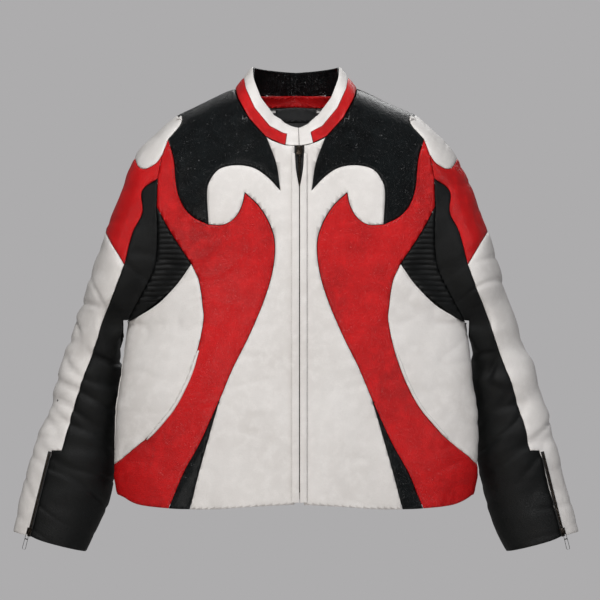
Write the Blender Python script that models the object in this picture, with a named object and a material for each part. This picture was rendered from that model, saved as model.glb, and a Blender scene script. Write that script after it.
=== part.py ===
"""Leather riding jacket, hanging closed. Metres, +Z up, the front faces -Y and the wearer's left is +X.

Every panel is drawn flat in front view (X across, Z up from the neck), laid over the body or the
sleeve surface, and given its own thickness. The origin lies at the middle of the neck, level with the tops of the shoulders.
"""
import math

import bmesh
import bpy
from mathutils import Matrix, Vector

# Leather and lining
THICK = 0.0014
LINING_THICK = 0.001
SEAM_GAP = 0.0007
PANEL_STEP = 0.050
LINING_STEP = 0.075
CURVE_STEP = 0.034
NECK_STEP = 0.010

# Body
BODY_DEPTH = 0.085
BODY_TURN = 0.2
SHOULDER_TOP = 0.0444
SHOULDER_SLOPE = 0.454
SHOULDER_ROLL = 0.07
BODY_HALF_WIDTHS = ((-0.66, 0.270), (-0.612, 0.272), (-0.579, 0.2775), (-0.4785, 0.273),
                    (-0.3555, 0.2565), (-0.335, 0.268), (-0.31, 0.285), (-0.27, 0.315), (-0.2, 0.345),
                     (0.1, 0.36))

# Sleeve stations: outer edge, inner edge, half depth, middle of the depth
SLEEVE_TURN = 0.095
SLEEVE_STATIONS = (
    ((0.177, -0.0345), (0.1425, -0.273), 0.070, 0.000),
    ((0.210, -0.0630), (0.1875, -0.318), 0.072, 0.004),
    ((0.2445, -0.1035), (0.225, -0.345), 0.070, 0.004),
    ((0.291, -0.2145), (0.251, -0.363), 0.064, 0.004),
    ((0.3248, -0.318), (0.267, -0.393), 0.060, 0.028),
    ((0.3555, -0.4035), (0.264, -0.444), 0.056, 0.045),
    ((0.3885, -0.507), (0.271, -0.5475), 0.055, 0.045),
    ((0.4118, -0.594), (0.289, -0.633), 0.050, 0.040),
    ((0.4305, -0.6705), (0.3195, -0.7005), 0.044, 0.030),
)
UNDERARM_TOP = 3.75
CUFF_END = float(len(SLEEVE_STATIONS) - 1)
FRONT_BLEND = 0.05
BACK_BLEND = 0.085

# Collar
NECK_HALF = 0.093
NECK_BACK_Z = -0.005
COLLAR_HEIGHT = 0.043
COLLAR_SPLIT = 0.0215
COLLAR_TAB = 0.021
COLLAR_STEP = 0.0170

# Front closure
OPEN_X = 0.005
EDGE_CLEAR = 0.0068
ZIP_TOP = -0.092
ZIP_BOTTOM = -0.606
TAPE_Y = -0.0795
TAPE_THICK = 0.001
TAPE_RIDGE = 0.0024
TAPE_EDGES = (0.0003, 0.0030, 0.0105)
SLIDER_Z = -0.094
SLIDER_SIZE = (0.009, 0.0036, 0.013)
PULL_SIZE = (0.0055, 0.0014, 0.030)
PULL_CLEAR = 0.0011
BOX_SIZE = (0.0085, 0.0026, 0.011)
PLACKET_TOP = -0.1485
PLACKET_BOTTOM = -0.621
PLACKET_BACK = -0.0892
PLACKET_FRONT = -0.0906
PLACKET_FOOT = -0.0854
PLACKET_MEET = 0.0052
PLACKET_GAP = 0.00035
PLACKET_RIGHT_EDGE = -0.0062
PLACKET_LEFT_EDGE = 0.0166

# Cuff zips
CUFF_TAPE = (0.008, 0.0012)
CUFF_TAPE_OUT = 0.0032
CUFF_SLIDER_SIZE = (0.007, 0.003, 0.010)
CUFF_SLIDER_OUT = 0.0058
CUFF_PULL_OUT = 0.0028

# Lining and neck pieces, as depths behind the leather
BACK_LINING_DEPTH = 0.007
FRONT_LINING_DEPTH = 0.0085
SLEEVE_LINING_DEPTH = 0.0070
SLEEVE_LINING_TOP = 4.8
BAG_DEPTH = 0.0035
BAG_THICK = 0.0016
FACING_DEPTH = 0.0045
FACING_THICK = 0.0012
FACING = (-0.058, 0.058, -0.0225, -0.0060)
LABEL_DEPTH = 0.0092
LABEL_THICK = 0.0006
LABEL = (-0.033, 0.033, -0.0500, -0.0270)

# Seams in front view, from the middle outwards
NECK_FRONT = ((0.093, 0.002), (0.0878, -0.015), (0.0705, -0.0458), (0.045, -0.0735), (0.022, -0.0845),
              (0.008, -0.087), (0, -0.087))
NECK_BACK = ((0.0, -0.0050), (0.045, -0.0034))
YOKE_IN_BACK = ((0.045, -0.0034), (0.033, -0.07), (0.024, -0.153))
SHOULDER_SEAM = ((0.093, 0.0022), (0.1815, -0.038))
ARMHOLE_TOP = ((0.1815, -0.0375), (0.173, -0.051), (0.192, -0.0765))
ARMHOLE_CAP = ((0.192, -0.0765), (0.201, -0.1005))
ARMHOLE_RED = ((0.201, -0.1005), (0.2075, -0.1358))
ARMHOLE_BLACK = ((0.2075, -0.1358), (0.209, -0.1785))
ARMHOLE_LOW = ((0.209, -0.1785), (0.1875, -0.2175), (0.157, -0.264))
GUSSET_LOW = ((0.157, -0.264), (0.1785, -0.294), (0.207, -0.323), (0.234, -0.3405), (0.2565, -0.3525))
GUSSET_OUT = ((0.209, -0.1785), (0.208, -0.226), (0.212, -0.268), (0.229, -0.305), (0.2565, -0.3525))
YOKE_OUT = ((0.192, -0.0765), (0.183, -0.108), (0.179, -0.1485), (0.170, -0.1755), (0.154, -0.1935),
            (0.1313, -0.205))
YOKE_ARC = ((0.024, -0.153), (0.0428, -0.1335), (0.0638, -0.12), (0.09, -0.1163), (0.1148, -0.1223),
            (0.129, -0.1395), (0.1335, -0.159), (0.1313, -0.205))
YOKE_IN = ((0.045, -0.0735), (0.03, -0.114), (0.024, -0.153))
HOOK = ((0.1313, -0.205), (0.1088, -0.2055), (0.0915, -0.195), (0.081, -0.177), (0.0765, -0.1575))
FLAME_FRONT = ((0.0765, -0.1575), (0.0548, -0.1785), (0.0383, -0.207), (0.0315, -0.2355), (0.0353, -0.276),
               (0.0488, -0.321), (0.0713, -0.3735), (0.0945, -0.42), (0.114, -0.4665))
WEDGE_OUT = ((0.114, -0.4665), (0.1418, -0.528), (0.168, -0.576), (0.1913, -0.631))
WEDGE_IN = ((0.114, -0.4665), (0.129, -0.5175), (0.1455, -0.576), (0.16, -0.632))
FLAME_OUT = ((0.157, -0.264), (0.1448, -0.291), (0.1395, -0.33), (0.1388, -0.3495), (0.1478, -0.393),
             (0.1635, -0.4365), (0.1845, -0.477), (0.2123, -0.5115), (0.2265, -0.5265), (0.2765, -0.5665))
POCKET = ((0.1478, -0.393), (0.1635, -0.4365), (0.1845, -0.477), (0.2123, -0.5115), (0.2265, -0.5265))
HEM = ((0.0, -0.624), (0.06, -0.627), (0.12, -0.6315), (0.16, -0.632), (0.1913, -0.631), (0.24, -0.626),
       (0.272, -0.612))
CAP_LOW = ((0.201, -0.1005), (0.21, -0.1125), (0.2265, -0.121), (0.2375, -0.117), (0.2445, -0.1035))
RED_IN = ((0.2075, -0.1358), (0.231, -0.1545), (0.231, -0.1875), (0.245, -0.216), (0.258, -0.2648))
RED_LOW = ((0.258, -0.2648), (0.291, -0.2145))
OUTER_SEAM = ((0.258, -0.2648), (0.2955, -0.363), (0.312, -0.408), (0.339, -0.483), (0.3555, -0.546))
CUFF_STEP = ((0.3555, -0.546), (0.371, -0.546))
CUFF_SEAM = ((0.371, -0.546), (0.3885, -0.6195), (0.4035, -0.678))

COLOURS = {
    "white_leather": ((0.70, 0.68, 0.65), 0.50, 0.0),
    "red_leather": ((0.45, 0.010, 0.014), 0.38, 0.0),
    "black_leather": ((0.010, 0.014, 0.016), 0.36, 0.0),
    "black_lining": ((0.010, 0.010, 0.011), 0.65, 0.0),
    "zip_tape": ((0.012, 0.012, 0.013), 0.80, 0.0),
    "gunmetal": ((0.12, 0.105, 0.09), 0.35, 1.0),
}


def clear_scene():
    for item in list(bpy.data.objects):
        bpy.data.objects.remove(item, do_unlink=True)


def material(name):
    found = bpy.data.materials.get(name)
    if found:
        return found
    colour, rough, metal = COLOURS[name]
    made = bpy.data.materials.new(name)
    made.use_nodes = True
    shader = made.node_tree.nodes["Principled BSDF"]
    shader.inputs["Base Color"].default_value = (*colour, 1.0)
    shader.inputs["Roughness"].default_value = rough
    shader.inputs["Metallic"].default_value = metal
    return made


def read_row(rows, at):
    """Value between the two rows on either side of at; rows run upwards."""
    for (low, first), (high, second) in zip(rows, rows[1:]):
        if at <= high:
            share = max(0.0, (at - low) / (high - low))
            return first + (second - first) * share
    return rows[-1][1]


def smooth(points, spacing=CURVE_STEP):
    """A smooth curve through the points, read at about even steps."""
    points = [Vector(p) for p in points]
    if len(points) == 2:
        count = max(1, round((points[1] - points[0]).length / spacing))
        return [points[0].lerp(points[1], k / count) for k in range(count + 1)]
    ends = [points[0] * 2 - points[1]] + points + [points[-1] * 2 - points[-2]]
    curve = [points[0]]
    for p0, p1, p2, p3 in zip(ends, ends[1:], ends[2:], ends[3:]):
        count = max(1, round((p2 - p1).length / spacing))
        for k in range(1, count + 1):
            t = k / count
            bend = (p1 * 2 + (p2 - p0) * t + (p0 * 2 - p1 * 5 + p2 * 4 - p3) * t * t
                    + (p1 * 3 - p0 - p2 * 3 + p3) * t ** 3) * 0.5
            curve.append(bend)
    return curve


def loop(*curves):
    """Joins curves end to end into one closed outline."""
    outline = []
    for point in [p for curve in curves for p in curve]:
        if not outline or (point - outline[-1]).length > 0.0005:
            outline.append(point)
    if (outline[0] - outline[-1]).length < 0.0005:
        outline.pop()
    return outline


def back(curve):
    return list(reversed(curve))


def part_of_hem(start, end):
    hem = [p for p in smooth(HEM) if start + 0.004 < p.x < end - 0.004]
    return [Vector((start, hem_height(start)))] + hem + [Vector((end, hem_height(end)))]


def hem_height(x):
    return read_row(HEM, x)


def body_half(z):
    return read_row(BODY_HALF_WIDTHS, z)


def shoulder_height(x):
    return SHOULDER_TOP - SHOULDER_SLOPE * abs(x)


def body_y(x, z):
    """How far the body surface stands out from the side seams, in front or behind."""
    share = min(1.0, abs(x) / body_half(z))
    below = max(0.0, shoulder_height(x) - z)
    roll = 1.0
    if below < SHOULDER_ROLL:
        roll = math.sqrt(1.0 - (1.0 - below / SHOULDER_ROLL) ** 2)
    return BODY_DEPTH * math.sqrt(1.0 - share ** 2) * roll


def joined_y(x, z):
    """The body's depth continued past its side seam, which the sleeve and the gusset run into."""
    bend = 0.85
    share = abs(x) / body_half(z)
    if share > bend:
        flat = math.sqrt(1.0 - bend ** 2)
        fall = max(0.0, flat - (share - bend) * bend / flat)
        return fall / math.sqrt(1.0 - bend ** 2) * body_y(bend * body_half(z), z)
    return body_y(x, z)


class Surface:
    """A curved sheet with flat coordinates (a, b); depth is measured inwards along its normal."""

    def place(self, a, b, depth):
        reach = 0.0008
        along = self.point(a + reach, b) - self.point(a - reach, b)
        up = self.point(a, b + reach) - self.point(a, b - reach)
        normal = along.cross(up).normalized() * self.facing
        return self.point(a, b) - normal * depth


class Body(Surface):
    """The body, front (side -1) or back (side +1)."""

    def __init__(self, side):
        self.side = side
        self.facing = -side

    def flat(self, x, z):
        share = max(-1.0, min(1.0, x / body_half(z)))
        below = max(0.0, shoulder_height(x) - z)
        if below < SHOULDER_ROLL:
            run = SHOULDER_ROLL * math.acos(1.0 - below / SHOULDER_ROLL)
        else:
            run = SHOULDER_ROLL * math.pi / 2 + below - SHOULDER_ROLL
        return Vector((math.asin(share) * BODY_TURN, -run))

    def point(self, a, b):
        turn = a / BODY_TURN
        run = -b
        if run < SHOULDER_ROLL * math.pi / 2:
            below = SHOULDER_ROLL * (1.0 - math.cos(run / SHOULDER_ROLL))
            roll = math.sin(run / SHOULDER_ROLL)
        else:
            below = run - SHOULDER_ROLL * (math.pi / 2 - 1.0)
            roll = 1.0
        x = 0.27 * math.sin(turn)
        for _ in range(6):
            z = shoulder_height(x) - below
            x = body_half(z) * math.sin(turn)
        z = shoulder_height(x) - below
        return Vector((x, self.side * BODY_DEPTH * math.cos(turn) * roll, z))


def station(t):
    """Outer edge, inner edge, half depth and middle depth of the sleeve at station t."""
    last = len(SLEEVE_STATIONS) - 1
    k = max(0, min(last - 1, int(math.floor(t))))
    rows = [SLEEVE_STATIONS[max(0, min(last, k + n))] for n in (-1, 0, 1, 2)]
    f = t - k

    def blend(p0, p1, p2, p3):
        return 0.5 * (2 * p1 + (p2 - p0) * f + (2 * p0 - 5 * p1 + 4 * p2 - p3) * f * f
                      + (3 * p1 - p0 - 3 * p2 + p3) * f ** 3)
    outer = Vector([blend(*(r[0][n] for r in rows)) for n in (0, 1)])
    inner = Vector([blend(*(r[1][n] for r in rows)) for n in (0, 1)])
    return outer, inner, blend(*(r[2] for r in rows)), blend(*(r[3] for r in rows))


BODY_EDGE = [ARMHOLE_TOP, ARMHOLE_CAP, ARMHOLE_RED, ARMHOLE_BLACK, ARMHOLE_LOW, GUSSET_LOW]


def edge_distance(point):
    """Distance in front view from the seam that joins the sleeve to the body."""
    best = 1.0
    for seam in BODY_EDGE:
        for start, end in zip(seam, seam[1:]):
            start, end = Vector(start), Vector(end)
            run = end - start
            share = max(0.0, min(1.0, (point - start).dot(run) / run.length_squared))
            best = min(best, (point - start - run * share).length)
    return best


def ease(share):
    share = max(0.0, min(1.0, share))
    return share * share * (3.0 - 2.0 * share)


class Sleeve(Surface):
    """The wearer's left sleeve: a turns round the arm from the front, b runs down it."""

    facing = 1
    step = 0.09

    def flat(self, x, z):
        """Front half only."""
        point = Vector((x, z))
        low, high = -0.6, len(SLEEVE_STATIONS) - 0.4
        for _ in range(40):
            middle = (low + high) / 2
            outer, inner, _, _ = station(middle)
            across = outer - inner
            offset = point - inner
            if across.x * offset.y - across.y * offset.x < 0:
                low = middle
            else:
                high = middle
        share = (point - (outer + inner) / 2).dot(across) / across.length_squared * 2
        return Vector((math.asin(max(-1.0, min(1.0, share))) * SLEEVE_TURN, -middle * self.step))

    def point(self, a, b):
        outer, inner, depth, middle = station(-b / self.step)
        turn = a / SLEEVE_TURN
        spot = (outer + inner) / 2 + (outer - inner) / 2 * math.sin(turn)
        y = middle - depth * math.cos(turn)
        side = -1 if math.cos(turn) >= 0 else 1
        weight = 1.0 - ease(edge_distance(spot) / (FRONT_BLEND if side < 0 else BACK_BLEND))
        weight *= ease(abs(math.cos(turn)) / 0.5)
        body = joined_y(spot.x, spot.y) * side
        return Vector((spot.x, y + (body - y) * weight, spot.y))


SLEEVE = Sleeve()


class Gusset(Surface):
    """Underarm between body and sleeve, in front (side -1) or behind (side +1)."""

    def __init__(self, side):
        self.side = side
        self.facing = -side

    def flat(self, x, z):
        return Vector((x, z))

    def point(self, a, b):
        flat = SLEEVE.flat(a, b)
        turn = flat.x / SLEEVE_TURN
        if self.side > 0:
            turn = math.pi - turn
        outer, inner, depth, middle = station(-flat.y / SLEEVE.step)
        y = middle - depth * math.cos(turn)
        weight = 1.0 - ease(edge_distance(Vector((a, b))) / (FRONT_BLEND if self.side < 0 else BACK_BLEND))
        weight *= ease(abs(math.cos(turn)) / 0.5)
        return Vector((a, y + (self.side * joined_y(a, b) - y) * weight, b))


def neck_ring():
    """Half the neckline, from the front round to the back, as (length so far, point) rows."""
    front_line = [(x, z) for x, z in reversed(NECK_FRONT)]
    points = []
    for k in range(181):
        turn = math.radians(k)
        x = NECK_HALF * math.sin(turn)
        if k <= 90:
            z = read_row(front_line, x)
            points.append(Vector((x, -body_y(x, z), z)))
        else:
            z = NECK_BACK_Z + 0.007 * math.sin(turn) ** 2
            points.append(Vector((x, body_y(x, z), z)))
    points[90].y = 0.0
    rows = [(0.0, points[0])]
    for start, end in zip(points, points[1:]):
        rows.append((rows[-1][0] + (end - start).length, end))
    return rows


NECK_RING = neck_ring()
NECK_LENGTH = 2 * NECK_RING[-1][0]


class Collar(Surface):
    """Standing band round the neck: a runs round from the front, over the wearer's left, b up the band."""

    facing = 1

    def point(self, a, b):
        run = a % NECK_LENGTH
        flip = 1
        if run > NECK_LENGTH / 2:
            run = NECK_LENGTH - run
            flip = -1
        spot = read_row(NECK_RING, run).copy()
        spot.x *= flip
        lean = Vector((-0.62 * spot.x / NECK_HALF, -0.58 * spot.y / BODY_DEPTH, 0.79)).normalized()
        return spot + lean * b


def flat_sheet(outline, step, gap):
    """The outline filled, pulled in by the seam gap, cut on a grid and cut into triangles."""
    bm = bmesh.new()
    face = bm.faces.new([bm.verts.new((p.x, p.y, 0.0)) for p in outline])
    bm.normal_update()
    if gap:
        rim = bmesh.ops.inset_region(bm, faces=[face], thickness=gap, use_boundary=True,
                                     use_even_offset=True)
        bmesh.ops.delete(bm, geom=rim["faces"], context="FACES")
    for axis in (0, 1):
        low = min(v.co[axis] for v in bm.verts)
        high = max(v.co[axis] for v in bm.verts)
        for k in range(math.ceil(low / step), math.floor(high / step) + 1):
            normal = Vector((axis == 0, axis == 1, 0))
            bmesh.ops.bisect_plane(bm, geom=bm.verts[:] + bm.edges[:] + bm.faces[:], dist=0.0004,
                                   plane_co=normal * k * step, plane_no=normal)
    bmesh.ops.triangulate(bm, faces=bm.faces[:])
    return bm


def add_object(name, bm, finish, mirrored=False):
    if mirrored:
        bmesh.ops.scale(bm, vec=(-1, 1, 1), verts=bm.verts)
    bmesh.ops.recalc_face_normals(bm, faces=bm.faces[:])
    if bm.calc_volume(signed=True) < 0:
        bmesh.ops.reverse_faces(bm, faces=bm.faces[:])
    mesh = bpy.data.meshes.new(name)
    bm.to_mesh(mesh)
    bm.free()
    item = bpy.data.objects.new(name, mesh)
    bpy.context.scene.collection.objects.link(item)
    item.data.materials.append(material(finish))
    return item


def panel(name, outline, surface, finish, depth=0.0, thick=THICK, step=PANEL_STEP, mirrored=False,
          gap=SEAM_GAP):
    """One cut piece of leather or cloth, laid on a surface; outline is in its flat coordinates."""
    bm = flat_sheet(outline, step, gap)
    lifted = bmesh.ops.extrude_face_region(bm, geom=bm.faces[:])
    for item in lifted["geom"]:
        if isinstance(item, bmesh.types.BMVert):
            item.co.z = 1.0
    for vert in bm.verts:
        vert.co = surface.place(vert.co.x, vert.co.y, depth + thick * (1.0 - vert.co.z))
    return add_object(name, bm, finish, mirrored)


def on(surface, outline):
    return [surface.flat(p.x, p.y) for p in outline]


def pair(name, outline, surface, finish, **settings):
    """The same piece on the wearer's left and right."""
    panel("left_" + name, outline, surface, finish, **settings)
    panel("right_" + name, outline, surface, finish, mirrored=True, **settings)


def yoke_outline():
    shoulder = smooth(SHOULDER_SEAM)
    neck = [p for p in smooth(NECK_FRONT, NECK_STEP) if p.x >= 0.0449]
    return loop(shoulder, smooth(ARMHOLE_TOP), smooth(YOKE_OUT),
                back(smooth(YOKE_ARC)), back(smooth(YOKE_IN)),
                back(neck))


def flame_outline():
    armhole = smooth(ARMHOLE_CAP) + smooth(ARMHOLE_RED) + smooth(ARMHOLE_BLACK) + smooth(ARMHOLE_LOW)
    side = smooth([(0.2765, -0.5665), (0.2765, -0.59), (0.272, -0.612)])
    return loop(armhole, smooth(FLAME_OUT), side, back(part_of_hem(0.1913, 0.272)), back(smooth(WEDGE_OUT)),
                back(smooth(FLAME_FRONT)), back(smooth(HOOK)), back(smooth(YOKE_OUT)))


def side_outline():
    edge = [Vector((body_half(z), z)) for z in (-0.3525, -0.38, -0.42, -0.46, -0.50, -0.54)]
    return loop(smooth(GUSSET_LOW), edge, back(smooth(FLAME_OUT)))


def wedge_outline():
    return loop(smooth(WEDGE_OUT), back(part_of_hem(0.16, 0.1913)), back(smooth(WEDGE_IN)))


def centre_outline(edge):
    """White panel beside the front edge, which lies at X = edge."""
    neck = [p for p in smooth(NECK_FRONT) if edge + 0.004 < p.x <= 0.0451]
    top = Vector((edge, read_row([(x, z) for x, z in reversed(NECK_FRONT)], edge)))
    front_edge = smooth([(edge, hem_height(edge)), top])
    return loop(front_edge, back(neck), smooth(YOKE_IN), smooth(YOKE_ARC), smooth(HOOK), smooth(FLAME_FRONT),
                smooth(WEDGE_IN), back(part_of_hem(edge, 0.16)))


def back_centre_outline():
    half = loop(smooth(NECK_BACK), smooth(YOKE_IN_BACK), smooth(YOKE_ARC), smooth(HOOK), smooth(FLAME_FRONT),
                smooth(WEDGE_IN), back(part_of_hem(0.0, 0.16)))
    other = [Vector((-p.x, p.y)) for p in reversed(half) if p.x > 0.0005]
    return half + other


def back_yoke_outline():
    shoulder = smooth(SHOULDER_SEAM)
    neck = smooth([(0.045, -0.0034), (0.07, -0.001), (NECK_HALF, 0.0022)], NECK_STEP / 2)
    return loop(shoulder, smooth(ARMHOLE_TOP), smooth(YOKE_OUT),
                back(smooth(YOKE_ARC)), back(smooth(YOKE_IN_BACK)),
                neck)


def build_body():
    front, rear = Body(-1), Body(1)
    pair("front_yoke", on(front, yoke_outline()), front, "black_leather")
    pair("front_flame", on(front, flame_outline()), front, "red_leather")
    pair("front_side", on(front, side_outline()), front, "white_leather")
    pair("front_hem_wedge", on(front, wedge_outline()), front, "black_leather")
    panel("left_front_centre", on(front, centre_outline(OPEN_X + EDGE_CLEAR)), front, "white_leather")
    right = on(front, centre_outline(EDGE_CLEAR - OPEN_X))
    panel("right_front_centre", right, front, "white_leather", mirrored=True)
    pair("back_yoke", on(rear, back_yoke_outline()), rear, "black_leather")
    pair("back_flame", on(rear, flame_outline()), rear, "red_leather")
    pair("back_side", on(rear, side_outline()), rear, "white_leather")
    pair("back_hem_wedge", on(rear, wedge_outline()), rear, "black_leather")
    panel("back_centre", on(rear, back_centre_outline()), rear, "white_leather")


def inner_edge(start, end, count):
    """Points down the underarm seam of the sleeve, in its flat coordinates."""
    return [Vector((-math.pi / 2 * SLEEVE_TURN, -(start + (end - start) * k / count) * Sleeve.step))
            for k in range(count + 1)]


def round_back(curve):
    """The same curve on the back half of the sleeve."""
    return [Vector((math.pi * SLEEVE_TURN - p.x, p.y)) for p in curve]


def both_halves(front_curve):
    """An outline that runs over the outer edge of the sleeve to the mirrored curve behind it."""
    rear = round_back(front_curve)
    return loop(front_curve, back(rear))


def build_sleeves():
    shoulder_point = [Vector(SHOULDER_SEAM[1])]
    cap = on(SLEEVE, shoulder_point + smooth(ARMHOLE_TOP)[1:] + smooth(ARMHOLE_CAP)[1:] + smooth(CAP_LOW)[1:])
    pair("shoulder_cap", both_halves(cap), SLEEVE, "white_leather")
    red = on(SLEEVE, back(smooth(CAP_LOW)) + smooth(ARMHOLE_RED)[1:] + smooth(RED_IN)[1:] + smooth(RED_LOW)[1:])
    pair("upper_arm", both_halves(red), SLEEVE, "red_leather")
    cuff_front = CUFF_END - 0.06
    corner = SLEEVE.flat(*CUFF_SEAM[-1])
    cuff = [Vector((corner.x, -cuff_front * Sleeve.step)),
            Vector((math.pi / 2 * SLEEVE_TURN, -CUFF_END * Sleeve.step))]
    seam = on(SLEEVE, smooth(OUTER_SEAM) + smooth(CUFF_STEP)[1:] + smooth(CUFF_SEAM)[1:-1])
    outer = on(SLEEVE, back(smooth(RED_LOW))) + seam[1:] + cuff
    pair("sleeve_outer", both_halves(outer), SLEEVE, "white_leather")
    bottom = [cuff[0], Vector((0.0, -CUFF_END * Sleeve.step))]
    clear = [Vector((0.263, -0.350))]
    start = on(SLEEVE, clear + back(smooth(GUSSET_OUT))[1:]) + on(SLEEVE, back(smooth(ARMHOLE_BLACK)))[1:]
    inner = loop(start, on(SLEEVE, smooth(RED_IN)), seam, bottom, back(inner_edge(UNDERARM_TOP, CUFF_END, 9)))
    pair("sleeve_front", inner, SLEEVE, "black_leather")
    pair("sleeve_back", back(round_back(inner)), SLEEVE, "black_leather")
    outline = loop(smooth(ARMHOLE_LOW), smooth(GUSSET_LOW), back(smooth(GUSSET_OUT)))
    pair("front_gusset", outline, Gusset(-1), "black_leather")
    pair("back_gusset", outline, Gusset(1), "black_leather")


def build_collar():
    collar = Collar()
    start = 0.0032
    first, last = OPEN_X, NECK_LENGTH + OPEN_X

    def band(left, right, low, high):
        lower = smooth([(left, low), (right, low)], 0.03)
        upper = smooth([(right, high), (left, high)], 0.03)
        return loop(lower, upper)
    panel("collar_lower_band", band(first + COLLAR_TAB, last - COLLAR_TAB, start, COLLAR_SPLIT), collar,
          "red_leather", step=COLLAR_STEP)
    tab_in = smooth([(first + COLLAR_TAB, COLLAR_SPLIT), (last - COLLAR_TAB, COLLAR_SPLIT)], 0.03)
    upper = loop(smooth([(first, start), (first + COLLAR_TAB, start)]), tab_in,
                 smooth([(last - COLLAR_TAB, start), (last, start)]),
                 smooth([(last, COLLAR_HEIGHT), (first, COLLAR_HEIGHT)], 0.03))
    panel("collar_upper_band", upper, collar, "white_leather", step=COLLAR_STEP)
    panel("collar_lining", band(first, last, start, COLLAR_HEIGHT), collar, "black_leather", depth=0.0026,
          step=COLLAR_STEP)


def rectangle(left, right, low, high):
    return loop(smooth([(left, low), (right, low)], 0.03), smooth([(right, low), (right, high)], 0.03),
                smooth([(right, high), (left, high)], 0.03), smooth([(left, high), (left, low)], 0.03))


def build_inside():
    front, rear = Body(-1), Body(1)
    facing = on(rear, rectangle(*FACING))
    panel("neck_facing", facing, rear, "red_leather", depth=FACING_DEPTH, thick=FACING_THICK, step=COLLAR_STEP)
    side = smooth([(0.185, -0.33), (0.22, -0.40), (0.235, -0.52), (0.232, -0.605)], 0.05)
    arm = smooth([(0.175, -0.075), (0.185, -0.15), (0.13, -0.26), (0.185, -0.33)], 0.05)
    half = loop(smooth([(0.0, -0.03), (0.06, -0.028), (0.085, -0.03)], 0.03), arm, side,
                smooth([(0.232, -0.605), (0.0, -0.608)], 0.05))
    whole = half + [Vector((-p.x, p.y)) for p in reversed(half) if p.x > 0.0005]
    panel("back_lining", on(rear, whole), rear, "black_lining", depth=BACK_LINING_DEPTH, thick=LINING_THICK,
          step=LINING_STEP)
    opened = loop(smooth([(0.026, -0.11), (0.075, -0.072), (0.1, -0.04)], 0.03), arm, side,
                  smooth([(0.232, -0.605), (0.026, -0.608)], 0.05), smooth([(0.026, -0.608), (0.026, -0.11)], 0.05))
    pair("front_lining", on(front, opened), front, "black_lining", depth=FRONT_LINING_DEPTH, thick=LINING_THICK,
         step=LINING_STEP)
    label = on(rear, rectangle(*LABEL))
    panel("neck_label", label, rear, "black_lining", depth=LABEL_DEPTH, thick=LABEL_THICK, step=LINING_STEP)
    around = math.pi / 2 * SLEEVE_TURN
    tube = rectangle(-around + 0.001, 3 * around - 0.001, -(CUFF_END - 0.2) * Sleeve.step,
                     -SLEEVE_LINING_TOP * Sleeve.step)
    pair("sleeve_lining", tube, SLEEVE, "black_lining", depth=SLEEVE_LINING_DEPTH, thick=LINING_THICK,
         step=PANEL_STEP)
    bag = loop(smooth([(0.150, -0.40), (0.205, -0.50)]), smooth([(0.205, -0.50), (0.19, -0.57)]),
               smooth([(0.19, -0.57), (0.10, -0.56)]), smooth([(0.10, -0.56), (0.11, -0.42), (0.150, -0.40)]))
    pair("pocket_bag", on(front, bag), front, "black_lining", depth=BAG_DEPTH, thick=BAG_THICK)


def prism(name, profile, low, high, finish):
    """A section in plan, drawn with XY points, that runs from Z = low to Z = high."""
    bm = bmesh.new()
    face = bm.faces.new([bm.verts.new((x, y, low)) for x, y in profile])
    lifted = bmesh.ops.extrude_face_region(bm, geom=[face])
    upper = [v for v in lifted["geom"] if isinstance(v, bmesh.types.BMVert)]
    bmesh.ops.translate(bm, vec=(0, 0, high - low), verts=upper)
    return add_object(name, bm, finish)


def block(name, centre, size, finish, frame=None):
    """A box of the given size about centre, with bevelled edges; frame turns it."""
    bm = bmesh.new()
    bmesh.ops.create_cube(bm, size=1.0)
    bmesh.ops.scale(bm, vec=size, verts=bm.verts)
    bmesh.ops.bevel(bm, geom=bm.edges[:], offset=min(size) * 0.2, segments=1, profile=0.5, affect="EDGES",
                    material=-1)
    item = add_object(name, bm, finish)
    item.location = centre
    if frame:
        item.rotation_euler = frame.to_euler()
    return item


def pull_tab(name, finish):
    """A flat tab that hangs below its own origin, which is its hinge."""
    bm = bmesh.new()
    bmesh.ops.create_cube(bm, size=1.0)
    bmesh.ops.scale(bm, vec=PULL_SIZE, verts=bm.verts)
    bmesh.ops.translate(bm, vec=(0, 0, -PULL_SIZE[2] / 2), verts=bm.verts)
    corners = [e for e in bm.edges if abs(e.verts[0].co.y - e.verts[1].co.y) > 0.001]
    bmesh.ops.bevel(bm, geom=corners, offset=0.0015, segments=2, profile=0.5, affect="EDGES", material=-1)
    return add_object(name, bm, finish)


def build_plackets():
    """Two folded lips that meet over the zip; each stands on the front panel beside it."""
    lips = (("right", PLACKET_RIGHT_EDGE, PLACKET_MEET - PLACKET_GAP, THICK),
            ("left", PLACKET_LEFT_EDGE, PLACKET_MEET + PLACKET_GAP, -THICK))
    for word, outer, inner, wall in lips:
        profile = [(inner, PLACKET_BACK), (inner, PLACKET_FRONT), (outer, PLACKET_FRONT), (outer, PLACKET_FOOT),
                   (outer + wall, PLACKET_FOOT), (outer + wall, PLACKET_BACK)]
        prism(word + "_zip_placket", profile, PLACKET_BOTTOM, PLACKET_TOP, "white_leather")


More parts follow.
